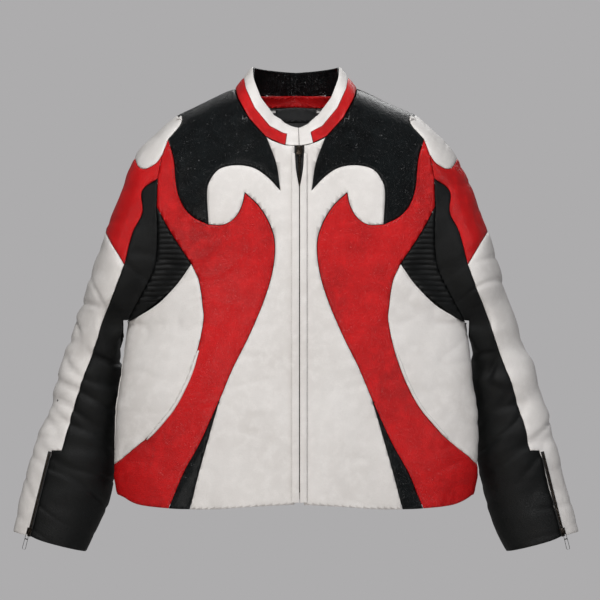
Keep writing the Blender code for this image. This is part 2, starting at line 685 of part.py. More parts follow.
def build_front_zip():
    near, edge, far = TAPE_EDGES
    for side, word in ((1, "left"), (-1, "right")):
        profile = [(OPEN_X + side * near, TAPE_Y), (OPEN_X + side * near, TAPE_Y - TAPE_RIDGE),
                   (OPEN_X + side * edge, TAPE_Y - TAPE_RIDGE), (OPEN_X + side * edge, TAPE_Y - TAPE_THICK),
                   (OPEN_X + side * far, TAPE_Y - TAPE_THICK), (OPEN_X + side * far, TAPE_Y)]
        prism(word + "_front_zip_tape", profile, ZIP_BOTTOM, ZIP_TOP, "zip_tape")
    block("front_zip_box", (OPEN_X, TAPE_Y - 0.0040, ZIP_BOTTOM + 0.006), BOX_SIZE, "gunmetal")
    slider_y = TAPE_Y - 0.0028 - SLIDER_SIZE[1] / 2
    block("front_zip_slider", (OPEN_X, slider_y, SLIDER_Z), SLIDER_SIZE, "gunmetal")
    pull = pull_tab("front_zip_pull", "gunmetal")
    pull.location = (OPEN_X, slider_y - SLIDER_SIZE[1] / 2 - PULL_CLEAR, SLIDER_Z - 0.002)


def cuff_line():
    """Top and bottom of the cuff zip on the wearer's left sleeve, and its outward normal."""
    ends = []
    for x, z in (CUFF_SEAM[0], CUFF_SEAM[-1]):
        flat = SLEEVE.flat(x, z)
        ends.append(SLEEVE.place(flat.x, flat.y, 0.0))
    flat = SLEEVE.flat(*CUFF_SEAM[1])
    middle = SLEEVE.place(flat.x, flat.y, 0.0)
    normal = (SLEEVE.place(flat.x, flat.y, -0.01) - middle).normalized()
    return ends[0], ends[1], normal


def cuff_frame(side):
    """Axes of the cuff zip as a matrix: X across it, Y inwards, Z up along it."""
    top, bottom, normal = cuff_line()
    up = (top - bottom).normalized()
    inward = -(normal - up * normal.dot(up)).normalized()
    flip = Vector((side, 1, 1))
    up, inward = up * flip, inward * flip
    across = inward.cross(up)
    return Matrix((across, inward, up)).transposed()


def build_cuff_zips():
    top, bottom, _ = cuff_line()
    for side, word in ((1, "left"), (-1, "right")):
        flip = Vector((side, 1, 1))
        frame = cuff_frame(side)
        outward = -Vector(frame.col[1])
        up = Vector(frame.col[2])
        middle = (top + bottom) / 2 * flip
        length = (top - bottom).length
        block(word + "_cuff_zip_tape", middle + outward * CUFF_TAPE_OUT, (*CUFF_TAPE, length - 0.004), "zip_tape",
              frame)
        spot = bottom * flip + up * 0.010 + outward * CUFF_SLIDER_OUT
        block(word + "_cuff_zip_slider", spot, CUFF_SLIDER_SIZE, "gunmetal", frame)
        pull = pull_tab(word + "_cuff_zip_pull", "gunmetal")
        pull.location = spot + outward * CUFF_PULL_OUT
        pull.rotation_euler = frame.to_euler()


def build_pocket_welts():
    front = Body(-1)
    curve = on(front, smooth(POCKET, 0.015))
    rim = []
    for k, p in enumerate(curve):
        ahead = curve[min(k + 1, len(curve) - 1)] - curve[max(k - 1, 0)]
        rim.append(p + Vector((-ahead.y, ahead.x)).normalized() * 0.004)
    pair("pocket_welt", loop(curve, back(rim)), front, "white_leather", depth=-0.0026, thick=0.0018)


def main():
    clear_scene()
    build_body()
    build_sleeves()
    build_collar()
    build_inside()
    build_plackets()
    build_front_zip()
    build_cuff_zips()
    build_pocket_welts()


main()
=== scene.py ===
"""Looks of the leather riding jacket: panels, seams, stitching, collar, zips and lining.

Metres, +Z up, the front at -Y and the wearer's left at +X. Seams are drawn in front view as (X, Z), laid on a
curved surface of the body, sleeve or collar, and cut into panels with their own thickness."""
import math

import bmesh
import bpy
from mathutils import Matrix, Vector, kdtree, noise


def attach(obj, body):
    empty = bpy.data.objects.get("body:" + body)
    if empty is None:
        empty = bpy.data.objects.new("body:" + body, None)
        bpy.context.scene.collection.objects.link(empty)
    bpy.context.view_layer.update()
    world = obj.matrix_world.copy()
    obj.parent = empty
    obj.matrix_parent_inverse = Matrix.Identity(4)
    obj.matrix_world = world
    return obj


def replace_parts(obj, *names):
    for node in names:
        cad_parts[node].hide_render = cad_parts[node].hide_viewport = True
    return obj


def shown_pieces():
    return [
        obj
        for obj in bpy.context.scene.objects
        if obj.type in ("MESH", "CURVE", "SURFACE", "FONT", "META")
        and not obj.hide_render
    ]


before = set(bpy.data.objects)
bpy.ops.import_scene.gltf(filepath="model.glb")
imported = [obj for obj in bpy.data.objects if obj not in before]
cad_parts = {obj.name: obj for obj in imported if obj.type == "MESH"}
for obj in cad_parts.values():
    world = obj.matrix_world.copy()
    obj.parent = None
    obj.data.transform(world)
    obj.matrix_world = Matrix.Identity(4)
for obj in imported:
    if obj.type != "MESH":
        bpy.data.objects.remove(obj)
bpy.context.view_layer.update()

BOTH = (1, -1)

# Leather and cutting
THICK = 0.0014
SEAM_GAP = 0.00035
GRID = 0.0042
RIB_GRID = 0.0026
GUSSET_GRID = (0.006, 0.0013)
CURVE_STEP = 0.004
ROLL_DEPTH = 0.0008
ROLL_WIDTH = 0.0036
PUCKER_HEIGHT = 0.0005
PUCKERS_PER_METRE = 85
PUCKER_REACH = 0.014

# Stitches: pitch along the seam, distance from it, and half sizes of one thread
STITCH_PITCH = 0.0038
STITCH_REACH = 0.0034
FRONT_STITCH_REACH = STITCH_REACH + 0.0018
FRONT_STITCH_ENDS = (-0.092, -0.62)
HEM_STITCH_RISE = 0.0105
HEM_STITCH_WHITE = (0.0, 0.156)
HEM_STITCH_BLACK = (0.164, 0.188)
HEM_STITCH_RED = (0.195, 1.0)
STITCH_HALF = (STITCH_PITCH * 0.36, 0.00036, 0.00030)

# Body and sleeve sizes
BODY_DEPTH = 0.085
BODY_TURN = 0.2
SHOULDER_TOP = 0.0444
SHOULDER_SLOPE = 0.454
SHOULDER_ROLL = 0.07
BODY_HALF_WIDTHS = ((-0.66, 0.270), (-0.612, 0.272), (-0.579, 0.2775), (-0.4785, 0.273),
                    (-0.3555, 0.2565), (-0.335, 0.268), (-0.31, 0.285), (-0.27, 0.315), (-0.2, 0.345),
                    (0.1, 0.36))
SLEEVE_TURN = 0.095
SLEEVE_STEP = 0.09
SLEEVE_STATIONS = (
    ((0.177, -0.0345), (0.1425, -0.273), 0.070, 0.000),
    ((0.210, -0.0630), (0.1875, -0.318), 0.072, 0.004),
    ((0.2445, -0.1035), (0.225, -0.345), 0.070, 0.004),
    ((0.291, -0.2145), (0.251, -0.363), 0.064, 0.004),
    ((0.3248, -0.318), (0.267, -0.393), 0.060, 0.028),
    ((0.3555, -0.4035), (0.264, -0.444), 0.056, 0.045),
    ((0.3885, -0.507), (0.271, -0.5475), 0.055, 0.045),
    ((0.4118, -0.594), (0.289, -0.633), 0.050, 0.040),
    ((0.4305, -0.6705), (0.3195, -0.7005), 0.044, 0.030),
)
FRONT_BLEND = 0.05
BACK_BLEND = 0.085
RELIEF_BLEND = 0.06
UNDERARM_TOP = 3.75
CUFF_END = float(len(SLEEVE_STATIONS) - 1)
CUFF_FRONT = CUFF_END - 0.06

# Collar
NECK_HALF = 0.093
NECK_BACK_Z = -0.005
COLLAR_HEIGHT = 0.043
COLLAR_SPLIT = 0.0215
COLLAR_TAB = 0.021
COLLAR_START = 0.0008
COLLAR_GRID = 0.0028
NOTCH_DROP = 0.0085
NOTCH_RUN = 0.038
COLLAR_LINING_DEPTH = 0.0022
COLLAR_LINING_RISE = 0.0012

# Inside the neck: (left, right, bottom, top) of each piece, its depth under the surface, its thickness
FACING = (-0.058, 0.058, -0.0225, -0.0030)
FACING_DEPTH = 0.0040
FACING_THICK = 0.0012
LABEL = (-0.033, 0.033, -0.0460, -0.0225)
LABEL_DEPTH = 0.0092
LABEL_THICK = 0.0006

# Front closure
OPEN_X = 0.005
EDGE_CLEAR = 0.0068
ZIP_TOP = -0.092
ZIP_BOTTOM = -0.606
TAPE_Y = -0.0795
SLIDER_Z = -0.094
PLACKET_TOP = -0.1485
PLACKET_BOTTOM = -0.621
PLACKET_Y = -0.0906
PLACKET_MEET = 0.0052
PLACKET_GAP = 0.00035
PLACKET_RIGHT_EDGE = -0.0062
PLACKET_LEFT_EDGE = 0.0166
PLACKET_GRID = (0.0014, 0.005)
LIP_TOP = -0.0985
LIP_PARTING = ((0.0020, PLACKET_TOP + 0.010), (0.0048, -0.1215), (0.0062, LIP_TOP))
SLIDER_SIZE = (0.009, 0.0036, 0.013)
PULL_SIZE = (0.0055, 0.0014, 0.030)
PULL_FRAME = 0.0019
PULL_CLEAR = 0.0011
BOX_SIZE = (0.0085, 0.0026, 0.011)
TAPE_SIZE = (0.0104, 0.0008)
TAPE_BEAD = (0.0016, 0.0018)
TOOTH_PITCH = 0.0026
TOOTH_SIZE = (0.0034, 0.0022, 0.0014)

# Cuff zips: tape, slider, and how far each stands off the sleeve
CUFF_TAPE_SIZE = (0.0055, 0.0012)
CUFF_TAPE_OUT = 0.0032
CUFF_SLIDER_SIZE = (0.007, 0.003, 0.010)
CUFF_SLIDER_OUT = 0.0058
CUFF_SLIDER_RISE = 0.010
CUFF_PULL_OUT = 0.0028
CUFF_TOOTH_SHARE = 0.55
CUFF_STITCH_RISE = 0.14
CUFF_STITCH_TURNS = (-1.35, 0.93)

# Corded edge of the pocket: half width, half thickness, sides, and rings over which it tapers
CORD_HALF_WIDTH = 0.0026
CORD_HALF_THICK = 0.0021
CORD_SIDES = 10
CORD_TAPER = 6

# Seams in front view, from the middle outwards
NECK_FRONT = ((0.093, 0.002), (0.0878, -0.015), (0.0705, -0.0458), (0.045, -0.0735), (0.022, -0.0845),
              (0.008, -0.087), (0, -0.087))
NECK_BACK = ((0.0, -0.0050), (0.045, -0.0034))
ARMHOLE_TOP = ((0.1815, -0.0375), (0.173, -0.051), (0.192, -0.0765))
ARMHOLE_CAP = ((0.192, -0.0765), (0.201, -0.1005))
ARMHOLE_RED = ((0.201, -0.1005), (0.2075, -0.1358))
ARMHOLE_BLACK = ((0.2075, -0.1358), (0.209, -0.1785))
ARMHOLE_LOW = ((0.209, -0.1785), (0.1875, -0.2175), (0.157, -0.264))
GUSSET_LOW = ((0.157, -0.264), (0.1785, -0.294), (0.207, -0.323), (0.234, -0.3405), (0.2565, -0.3525))
GUSSET_OUT = ((0.209, -0.1785), (0.208, -0.226), (0.212, -0.268), (0.229, -0.305), (0.2565, -0.3525))
YOKE_OUT = ((0.192, -0.0765), (0.183, -0.108), (0.179, -0.1485), (0.170, -0.1755), (0.154, -0.1935),
            (0.1313, -0.205))
YOKE_ARC = ((0.024, -0.153), (0.0428, -0.1335), (0.0638, -0.12), (0.09, -0.1163), (0.1148, -0.1223),
            (0.129, -0.1395), (0.1335, -0.159), (0.1313, -0.205))
YOKE_IN = ((0.045, -0.0735), (0.03, -0.114), (0.024, -0.153))
YOKE_IN_BACK = ((0.045, -0.0034), (0.033, -0.07), (0.024, -0.153))
HOOK = ((0.1313, -0.205), (0.1088, -0.2055), (0.0915, -0.195), (0.081, -0.177), (0.0765, -0.1575))
FLAME_FRONT = ((0.0765, -0.1575), (0.0548, -0.1785), (0.0383, -0.207), (0.0315, -0.2355), (0.0353, -0.276),
               (0.0488, -0.321), (0.0713, -0.3735), (0.0945, -0.42), (0.114, -0.4665))
WEDGE_OUT = ((0.114, -0.4665), (0.1418, -0.528), (0.168, -0.576), (0.1913, -0.631))
WEDGE_IN = ((0.114, -0.4665), (0.129, -0.5175), (0.1455, -0.576), (0.16, -0.632))
FLAME_OUT = ((0.157, -0.264), (0.1448, -0.291), (0.1395, -0.33), (0.1388, -0.3495), (0.1478, -0.393),
             (0.1635, -0.4365), (0.1845, -0.477), (0.2123, -0.5115), (0.2265, -0.5265), (0.2765, -0.5665))
POCKET = ((0.1478, -0.393), (0.1635, -0.4365), (0.1845, -0.477), (0.2123, -0.5115), (0.2265, -0.5265))
HEM = ((0.0, -0.624), (0.06, -0.627), (0.12, -0.6315), (0.16, -0.632), (0.1913, -0.631), (0.24, -0.626),
       (0.272, -0.612))
CAP_LOW = ((0.201, -0.1005), (0.21, -0.1125), (0.2265, -0.121), (0.2375, -0.117), (0.2445, -0.1035))
RED_IN = ((0.2075, -0.1358), (0.231, -0.1545), (0.231, -0.1875), (0.245, -0.216), (0.258, -0.2648))
RED_LOW = ((0.258, -0.2648), (0.291, -0.2145))
OUTER_SEAM = ((0.258, -0.2648), (0.2955, -0.363), (0.312, -0.408), (0.339, -0.483), (0.3555, -0.546))
CUFF_STEP = ((0.3555, -0.546), (0.371, -0.546))
CUFF_SEAM = ((0.371, -0.546), (0.3885, -0.6195), (0.4035, -0.678))
SHOULDER_SEAM = ((NECK_HALF, 0.0022), (0.1815, -0.038))

# Pleats of the underarm gussets
PLEAT_PITCH = 0.0078
PLEAT_HEIGHT = 0.0013
PLEAT_TOP = -0.196
PLEAT_LOW = -0.330
PLEAT_FADE = 0.012

# Camera and lights: place, aim, size, watts and colour
CAMERA_AIM = (0.006, 0.0, -0.318)
CAMERA_AWAY = 6.06
CAMERA_LENS = 240
CAMERA_SENSOR = 36
FLOOR_Z = -1.45
FLOOR_RADIUS = 3.6
LIGHTS = (
    ("key_light", (-0.15, -1.7, 1.35), (0.0, 0.0, -0.34), 0.5, 39, "#FFFFFF"),
    ("side_light", (2.3, -1.9, 0.3), (0.1, 0.0, -0.35), 1.4, 10, "#F6F8FF"),
    ("low_light", (-0.6, -2.4, -0.9), (0.0, 0.0, -0.40), 1.2, 14, "#FFF9F4"),
    ("back_light", (0.4, 2.4, 1.4), (0.0, 0.0, -0.30), 1.4, 22, "#FFFFFF"),
)


def read_row(rows, at):
    """Value between the two rows on either side of at; rows run upwards."""
    for (low, first), (high, second) in zip(rows, rows[1:]):
        if at <= high:
            share = max(0.0, (at - low) / (high - low))
            return first + (second - first) * share
    return rows[-1][1]


def ease(share):
    """Goes smoothly from 0 to 1 as share does."""
    share = max(0.0, min(1.0, share))
    return share * share * (3.0 - 2.0 * share)


def smooth(points, spacing=CURVE_STEP):
    """A smooth curve through the points, read at about even steps."""
    points = [Vector(p) for p in points]
    if len(points) == 2:
        count = max(1, round((points[1] - points[0]).length / spacing))
        return [points[0].lerp(points[1], k / count) for k in range(count + 1)]
    ends = [points[0] * 2 - points[1]] + points + [points[-1] * 2 - points[-2]]
    curve = [points[0]]
    for p0, p1, p2, p3 in zip(ends, ends[1:], ends[2:], ends[3:]):
        count = max(1, round((p2 - p1).length / spacing))
        for k in range(1, count + 1):
            t = k / count
            curve.append((p1 * 2 + (p2 - p0) * t + (p0 * 2 - p1 * 5 + p2 * 4 - p3) * t * t
                          + (p1 * 3 - p0 - p2 * 3 + p3) * t ** 3) * 0.5)
    return curve


def loop(*curves):
    """Joins curves end to end into one closed outline."""
    outline = []
    for point in [p for curve in curves for p in curve]:
        if not outline or (point - outline[-1]).length > 0.0005:
            outline.append(point)
    if (outline[0] - outline[-1]).length < 0.0005:
        outline.pop()
    return outline


def back(curve):
    return list(reversed(curve))


def towards(side):
    """Multiplier that keeps a left-hand shape (side 1) or mirrors it to the right (side -1)."""
    return Vector((side, 1, 1))


def hem_height(x):
    return read_row(HEM, x)


def part_of_hem(start, end):
    hem = [p for p in smooth(HEM) if start + 0.001 < p.x < end - 0.001]
    return [Vector((start, hem_height(start)))] + hem + [Vector((end, hem_height(end)))]


def body_half(z):
    return read_row(BODY_HALF_WIDTHS, z)


def shoulder_height(x):
    return SHOULDER_TOP - SHOULDER_SLOPE * abs(x)


def body_y(x, z):
    """How far the body surface stands out from the side seams, in front or behind."""
    share = min(1.0, abs(x) / body_half(z))
    below = max(0.0, shoulder_height(x) - z)
    roll = 1.0
    if below < SHOULDER_ROLL:
        roll = math.sqrt(1.0 - (1.0 - below / SHOULDER_ROLL) ** 2)
    return BODY_DEPTH * math.sqrt(1.0 - share ** 2) * roll


def joined_y(x, z):
    """The body's depth continued past its side seam, which the sleeve and the gusset run into."""
    bend = 0.85
    share = abs(x) / body_half(z)
    if share > bend:
        flat = math.sqrt(1.0 - bend ** 2)
        fall = max(0.0, flat - (share - bend) * bend / flat)
        return fall / flat * body_y(bend * body_half(z), z)
    return body_y(x, z)


class Surface:
    """A curved sheet with flat coordinates (a, b)."""

    arm = False

    def frame(self, a, b):
        """The point on the sheet and its outward direction."""
        reach = 0.0008
        along = self.point(a + reach, b) - self.point(a - reach, b)
        up = self.point(a, b + reach) - self.point(a, b - reach)
        return self.point(a, b), along.cross(up).normalized() * self.facing


class Body(Surface):
    """The body, front (side -1) or back (side +1)."""

    def __init__(self, side):
        self.side = side
        self.facing = -side

    def flat(self, x, z):
        share = max(-1.0, min(1.0, x / body_half(z)))
        below = max(0.0, shoulder_height(x) - z)
        if below < SHOULDER_ROLL:
            run = SHOULDER_ROLL * math.acos(1.0 - below / SHOULDER_ROLL)
        else:
            run = SHOULDER_ROLL * math.pi / 2 + below - SHOULDER_ROLL
        return Vector((math.asin(share) * BODY_TURN, -run))

    def point(self, a, b):
        turn = a / BODY_TURN
        run = -b
        if run < SHOULDER_ROLL * math.pi / 2:
            below = SHOULDER_ROLL * (1.0 - math.cos(run / SHOULDER_ROLL))
            roll = math.sin(run / SHOULDER_ROLL)
        else:
            below = run - SHOULDER_ROLL * (math.pi / 2 - 1.0)
            roll = 1.0
        x = 0.27 * math.sin(turn)
        for _ in range(6):
            z = shoulder_height(x) - below
            x = body_half(z) * math.sin(turn)
        z = shoulder_height(x) - below
        return Vector((x, self.side * BODY_DEPTH * math.cos(turn) * roll, z))


def station(t):
    """Outer edge, inner edge, half depth and middle depth of the sleeve at station t."""
    last = len(SLEEVE_STATIONS) - 1
    k = max(0, min(last - 1, int(math.floor(t))))
    rows = [SLEEVE_STATIONS[max(0, min(last, k + n))] for n in (-1, 0, 1, 2)]
    f = t - k

    def blend(p0, p1, p2, p3):
        return 0.5 * (2 * p1 + (p2 - p0) * f + (2 * p0 - 5 * p1 + 4 * p2 - p3) * f * f
                      + (3 * p1 - p0 - 3 * p2 + p3) * f ** 3)
    outer = Vector([blend(*(r[0][n] for r in rows)) for n in (0, 1)])
    inner = Vector([blend(*(r[1][n] for r in rows)) for n in (0, 1)])
    return outer, inner, blend(*(r[2] for r in rows)), blend(*(r[3] for r in rows))


BODY_EDGE = [(Vector(start), Vector(end) - Vector(start))
             for seam in (ARMHOLE_TOP, ARMHOLE_CAP, ARMHOLE_RED, ARMHOLE_BLACK, ARMHOLE_LOW, GUSSET_LOW)
             for start, end in zip(seam, seam[1:])]


def edge_distance(x, z):
    """Distance in front view from the seam that joins the sleeve to the body."""
    point = Vector((x, z))
    best = 1.0
    for start, run in BODY_EDGE:
        offset = point - start
        share = max(0.0, min(1.0, offset.dot(run) / run.length_squared))
        best = min(best, (offset - run * share).length)
    return best


def join_weight(x, z, turn, side):
    """How strongly the sleeve keeps to the body beside the seam."""
    weight = 1.0 - ease(edge_distance(x, z) / (FRONT_BLEND if side < 0 else BACK_BLEND))
    return weight * ease(abs(math.cos(turn)) / 0.5)


class Sleeve(Surface):
    """The wearer's left sleeve: a turns round the arm from the front, b runs down it."""

    facing = 1
    arm = True

    def flat(self, x, z):
        """Front half only."""
        point = Vector((x, z))
        low, high = -0.6, len(SLEEVE_STATIONS) - 0.4
        for _ in range(28):
            middle = (low + high) / 2
            outer, inner, _, _ = station(middle)
            across = outer - inner
            offset = point - inner
            if across.x * offset.y - across.y * offset.x < 0:
                low = middle
            else:
                high = middle
        share = (point - (outer + inner) / 2).dot(across) / across.length_squared * 2
        return Vector((math.asin(max(-1.0, min(1.0, share))) * SLEEVE_TURN, -middle * SLEEVE_STEP))

    def point(self, a, b):
        outer, inner, depth, middle = station(-b / SLEEVE_STEP)
        turn = a / SLEEVE_TURN
        spot = (outer + inner) / 2 + (outer - inner) / 2 * math.sin(turn)
        y = middle - depth * math.cos(turn)
        side = -1 if math.cos(turn) >= 0 else 1
        weight = join_weight(spot.x, spot.y, turn, side)
        if weight:
            y += (joined_y(spot.x, spot.y) * side - y) * weight
        return Vector((spot.x, y, spot.y))


SLEEVE = Sleeve()


class Gusset(Surface):
    """Underarm between body and sleeve, in front (side -1) or behind (side +1)."""

    arm = True

    def __init__(self, side):
        self.side = side
        self.facing = -side

    def flat(self, x, z):
        return Vector((x, z))

    def point(self, a, b):
        flat = SLEEVE.flat(a, b)
        turn = flat.x / SLEEVE_TURN
        if self.side > 0:
            turn = math.pi - turn
        _, _, depth, middle = station(-flat.y / SLEEVE_STEP)
        y = middle - depth * math.cos(turn)
        weight = join_weight(a, b, turn, self.side)
        return Vector((a, y + (self.side * joined_y(a, b) - y) * weight, b))


def neck_ring():
    """Half the neckline, from the front round to the back, as (length so far, point) rows."""
    front_line = [(x, z) for x, z in reversed(NECK_FRONT)]
    points = []
    for k in range(181):
        turn = math.radians(k)
        x = NECK_HALF * math.sin(turn)
        if k <= 90:
            z = read_row(front_line, x)
            points.append(Vector((x, -body_y(x, z), z)))
        else:
            z = NECK_BACK_Z + 0.007 * math.sin(turn) ** 2
            points.append(Vector((x, body_y(x, z), z)))
    points[90].y = 0.0
    rows = [(0.0, points[0])]
    for start, end in zip(points, points[1:]):
        rows.append((rows[-1][0] + (end - start).length, end))
    return rows


NECK_RING = neck_ring()
NECK_LENGTH = 2 * NECK_RING[-1][0]


class Collar(Surface):
    """Standing band round the neck: a runs round from the front, over the wearer's left, b up the band."""

    facing = 1

    def point(self, a, b):
        run = a % NECK_LENGTH
        flip = 1
        if run > NECK_LENGTH / 2:
            run = NECK_LENGTH - run
            flip = -1
        spot = read_row(NECK_RING, run).copy()
        spot.x *= flip
        lean = Vector((-0.62 * spot.x / NECK_HALF, -0.58 * spot.y / BODY_DEPTH, 0.79)).normalized()
        return spot + lean * b


class Placket(Surface):
    """The flat front strip over the zip: a runs across, b up."""

    facing = 1

    def point(self, a, b):
        return Vector((a, PLACKET_Y, b))


FRONT, REAR, COLLAR, PLACKET = Body(-1), Body(1), Collar(), Placket()


# How soft leather hangs: hollows, creases and pleats of a few millimetres on the smooth shapes

def wave(spot, across, deep, up, seed):
    return noise.noise(Vector((spot.x * across + seed, spot.y * deep, spot.z * up)))


def body_relief(spot):
    """Broad hollows and slanting creases, flatter beside the stiff front closure."""
    side = 1 if spot.y > 0 else -1
    lift = 0.0032 * wave(spot, 7, 3, 3.4, 3.1 * side) + 0.0013 * wave(spot, 20, 8, 13, 7.7)
    slant = Vector((spot.x + 0.55 * abs(spot.z), spot.y, spot.z))
    lift += 0.0013 * wave(slant, 30, 9, 7, 1.9)
    lift += 0.0034 * wave(spot, 15, 5, 2, 5.2) * ease((-0.50 - spot.z) / 0.12)
    crease = wave(slant, 17, 6, 26, 11.3)
    lift -= 0.0011 * math.exp(-(crease / 0.10) ** 2) * ease((-0.16 - spot.z) / 0.12)
    near = abs(spot.x - OPEN_X)
    if side < 0:
        lift *= 0.12 + 0.88 * ease((near - 0.012) / 0.05)
    return lift


def sleeve_relief(spot):
    """Folds across the arm, deepest at the elbow and calm at the cuff."""
    along = abs(spot.x) * 0.305 - spot.z * 0.952
    across = abs(spot.x) * 0.952 + spot.z * 0.305
    seed = 4.0 if spot.x > 0 else 9.5
    bend = math.exp(-((spot.z + 0.43) / 0.13) ** 2)
    fold = noise.noise(Vector((along * 17 + across * 4, across * 5 + seed, spot.y * 7)))
    small = noise.noise(Vector((along * 42 - across * 9, across * 11 + seed, spot.y * 14)))
    broad = noise.noise(Vector((along * 6, across * 4 - seed, spot.y * 6)))
    lift = fold * (0.0026 + 0.0036 * bend) + small * (0.0013 + 0.0024 * bend) + broad * 0.0030
    crease = noise.noise(Vector((along * 24 + across * 6, across * 7 + seed, spot.y * 5 + 20)))
    lift -= (0.0014 + 0.0024 * bend) * math.exp(-(crease / 0.10) ** 2)
    return lift * (1.0 - 0.6 * ease((-0.62 - spot.z) / 0.05))


def pleats(spot):
    """Raised pleats across the underarm, which fade into the smooth sleeve."""
    if not PLEAT_LOW < spot.z < PLEAT_TOP:
        return 0.0
    ends = ease((PLEAT_TOP - spot.z) / PLEAT_FADE) * ease((spot.z - PLEAT_LOW) / PLEAT_FADE)
    outer = read_row([(z, x) for x, z in reversed(GUSSET_OUT)], spot.z)
    fade = 1.0 - ease((abs(spot.x) - outer + 0.010) / 0.022)
    phase = (spot.z + 0.05 * abs(abs(spot.x) - 0.19)) / PLEAT_PITCH
    ridge = abs(math.sin(math.pi * phase)) ** 0.8
    return PLEAT_HEIGHT * (ridge - 0.5) * 2 * ends * fade


def relief(spot, arm, ribbed=False):
    """How far the leather stands out from its smooth shape."""
    lift = body_relief(spot)
    if arm:
        share = ease(edge_distance(abs(spot.x), spot.z) / RELIEF_BLEND)
        lift += (sleeve_relief(spot) - lift) * share
        if ribbed:
            lift += pleats(spot)
    return lift


def roll(distance):
    """How deep the edge of a panel dives into its seam."""
    return ROLL_DEPTH * (1.0 - ease(distance / ROLL_WIDTH))


# Cutting a panel and laying it on its surface

def finish_piece(name, bm, finish, body="root"):
    """Makes a smooth-shaded piece from the bmesh, gives it its finish and fixes it to its body."""
    mesh = bpy.data.meshes.new(name)
    bm.to_mesh(mesh)
    bm.free()
    mesh.polygons.foreach_set("use_smooth", [True] * len(mesh.polygons))
    item = bpy.data.objects.new(name, mesh)
    bpy.context.scene.collection.objects.link(item)
    mesh.materials.append(FINISHES[finish])
    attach(item, body)
    return item


def cut_size(outline, area):
    """Width and length of the smallest rectangle of leather that the flat piece is cut from, and its area."""
    drawn = abs(sum(p.x * q.y - q.x * p.y for p, q in zip(outline, outline[1:] + outline[:1]))) / 2
    best = None
    for degrees in range(0, 90, 5):
        turn = Matrix.Rotation(math.radians(degrees), 2)
        spots = [turn @ Vector((p.x * area / drawn, p.y)) for p in outline]
        wide = max(p.x for p in spots) - min(p.x for p in spots)
        tall = max(p.y for p in spots) - min(p.y for p in spots)
        if best is None or wide * tall < best[0] * best[1]:
            best = (wide, tall)
    return best, max(area, 0.3 * best[0] * best[1])


def flat_sheet(outline, grid, gap):
    """The outline filled, pulled in by the seam gap and cut on a grid."""
    bm = bmesh.new()
    face = bm.faces.new([bm.verts.new((p.x, p.y, 0.0)) for p in outline])
    bm.normal_update()
    if face.normal.z < 0:
        bmesh.ops.reverse_faces(bm, faces=[face])
    rim = bmesh.ops.inset_region(bm, faces=[face], thickness=gap, use_boundary=True, use_even_offset=True)
    bmesh.ops.delete(bm, geom=rim["faces"], context="FACES")
    for axis in (0, 1):
        low = min(v.co[axis] for v in bm.verts)
        high = max(v.co[axis] for v in bm.verts)
        for k in range(math.ceil(low / grid[axis]), math.floor(high / grid[axis]) + 1):
            normal = Vector((axis == 0, axis == 1, 0))
            bmesh.ops.bisect_plane(bm, geom=bm.verts[:] + bm.edges[:] + bm.faces[:], dist=0.0002,
                                   plane_co=normal * k * grid[axis], plane_no=normal)
    bmesh.ops.triangulate(bm, faces=[f for f in bm.faces if len(f.verts) > 4])
    return bm


def edge_distances(bm):
    """Distance of every vertex of a flat sheet from its outline."""
    rim = [e for e in bm.edges if e.is_boundary]
    spots = []
    for edge in rim:
        start, end = edge.verts[0].co, edge.verts[1].co
        count = max(1, math.ceil((end - start).length / 0.001))
        spots += [start.lerp(end, k / count) for k in range(count)]
    tree = kdtree.KDTree(len(spots))
    for k, spot in enumerate(spots):
        tree.insert(spot, k)
    tree.balance()
    return [0.0 if v.is_boundary else tree.find(v.co)[2] for v in bm.verts]


def panel(name, outline, surface, finish, sides=(1,), depth=0.0, grid=(GRID, GRID), thick=THICK,
          ribbed=False, soft=True, rolled=True):
    """One cut piece of leather laid over a surface, once, or on the wearer's left and right."""
    base = flat_sheet(outline, grid, SEAM_GAP)
    distances = edge_distances(base)
    for vert in base.verts:
        vert.co = surface.point(vert.co.x, vert.co.y)
    base.normal_update()
    probe, outward = surface.frame(*flat_middle(outline))
    nearest = min(base.faces, key=lambda f: (f.calc_center_median() - probe).length)
    if nearest.normal.dot(outward) < 0:
        bmesh.ops.reverse_faces(base, faces=base.faces[:])
        base.normal_update()
    area = sum(f.calc_area() for f in base.faces)
    (wide, tall), area = cut_size(outline, area)
    for side in sides:
        bm = base.copy()
        flip = towards(side)
        for vert, distance in zip(bm.verts, distances):
            spot, outward = vert.co * flip, vert.normal * flip
            lift = -depth
            if soft:
                lift += relief(spot, surface.arm, ribbed)
                pucker = noise.noise(spot * PUCKERS_PER_METRE) * math.exp(-distance / PUCKER_REACH)
                lift += PUCKER_HEIGHT * pucker
            if rolled:
                lift -= roll(distance)
            vert.co = spot + outward * lift
        if side < 0:
            bmesh.ops.reverse_faces(bm, faces=bm.faces[:])
        word = name if len(sides) == 1 else ("left_" if side > 0 else "right_") + name
        item = finish_piece(word if word not in bpy.data.objects else word + "_skin", bm, finish)
        wall = item.modifiers.new("thickness", "SOLIDIFY")
        wall.thickness = thick
        wall.offset = -1
        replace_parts(item, word)
    base.free()


def flat_middle(outline):
    """A flat point that lies well inside the outline."""
    cross = sorted((p.y for p in outline))[len(outline) // 2] + 0.0001
    hits = []
    for p, q in zip(outline, outline[1:] + outline[:1]):
        if (p.y - cross) * (q.y - cross) < 0:
            hits.append(p.x + (q.x - p.x) * (cross - p.y) / (q.y - p.y))
    hits.sort()
    return (hits[0] + hits[1]) / 2, cross


def on(surface, outline):
    """The front-view outline in the flat coordinates of the surface."""
    return [surface.flat(p.x, p.y) for p in outline]


# Outlines of the body panels, in front view, for the wearer's left

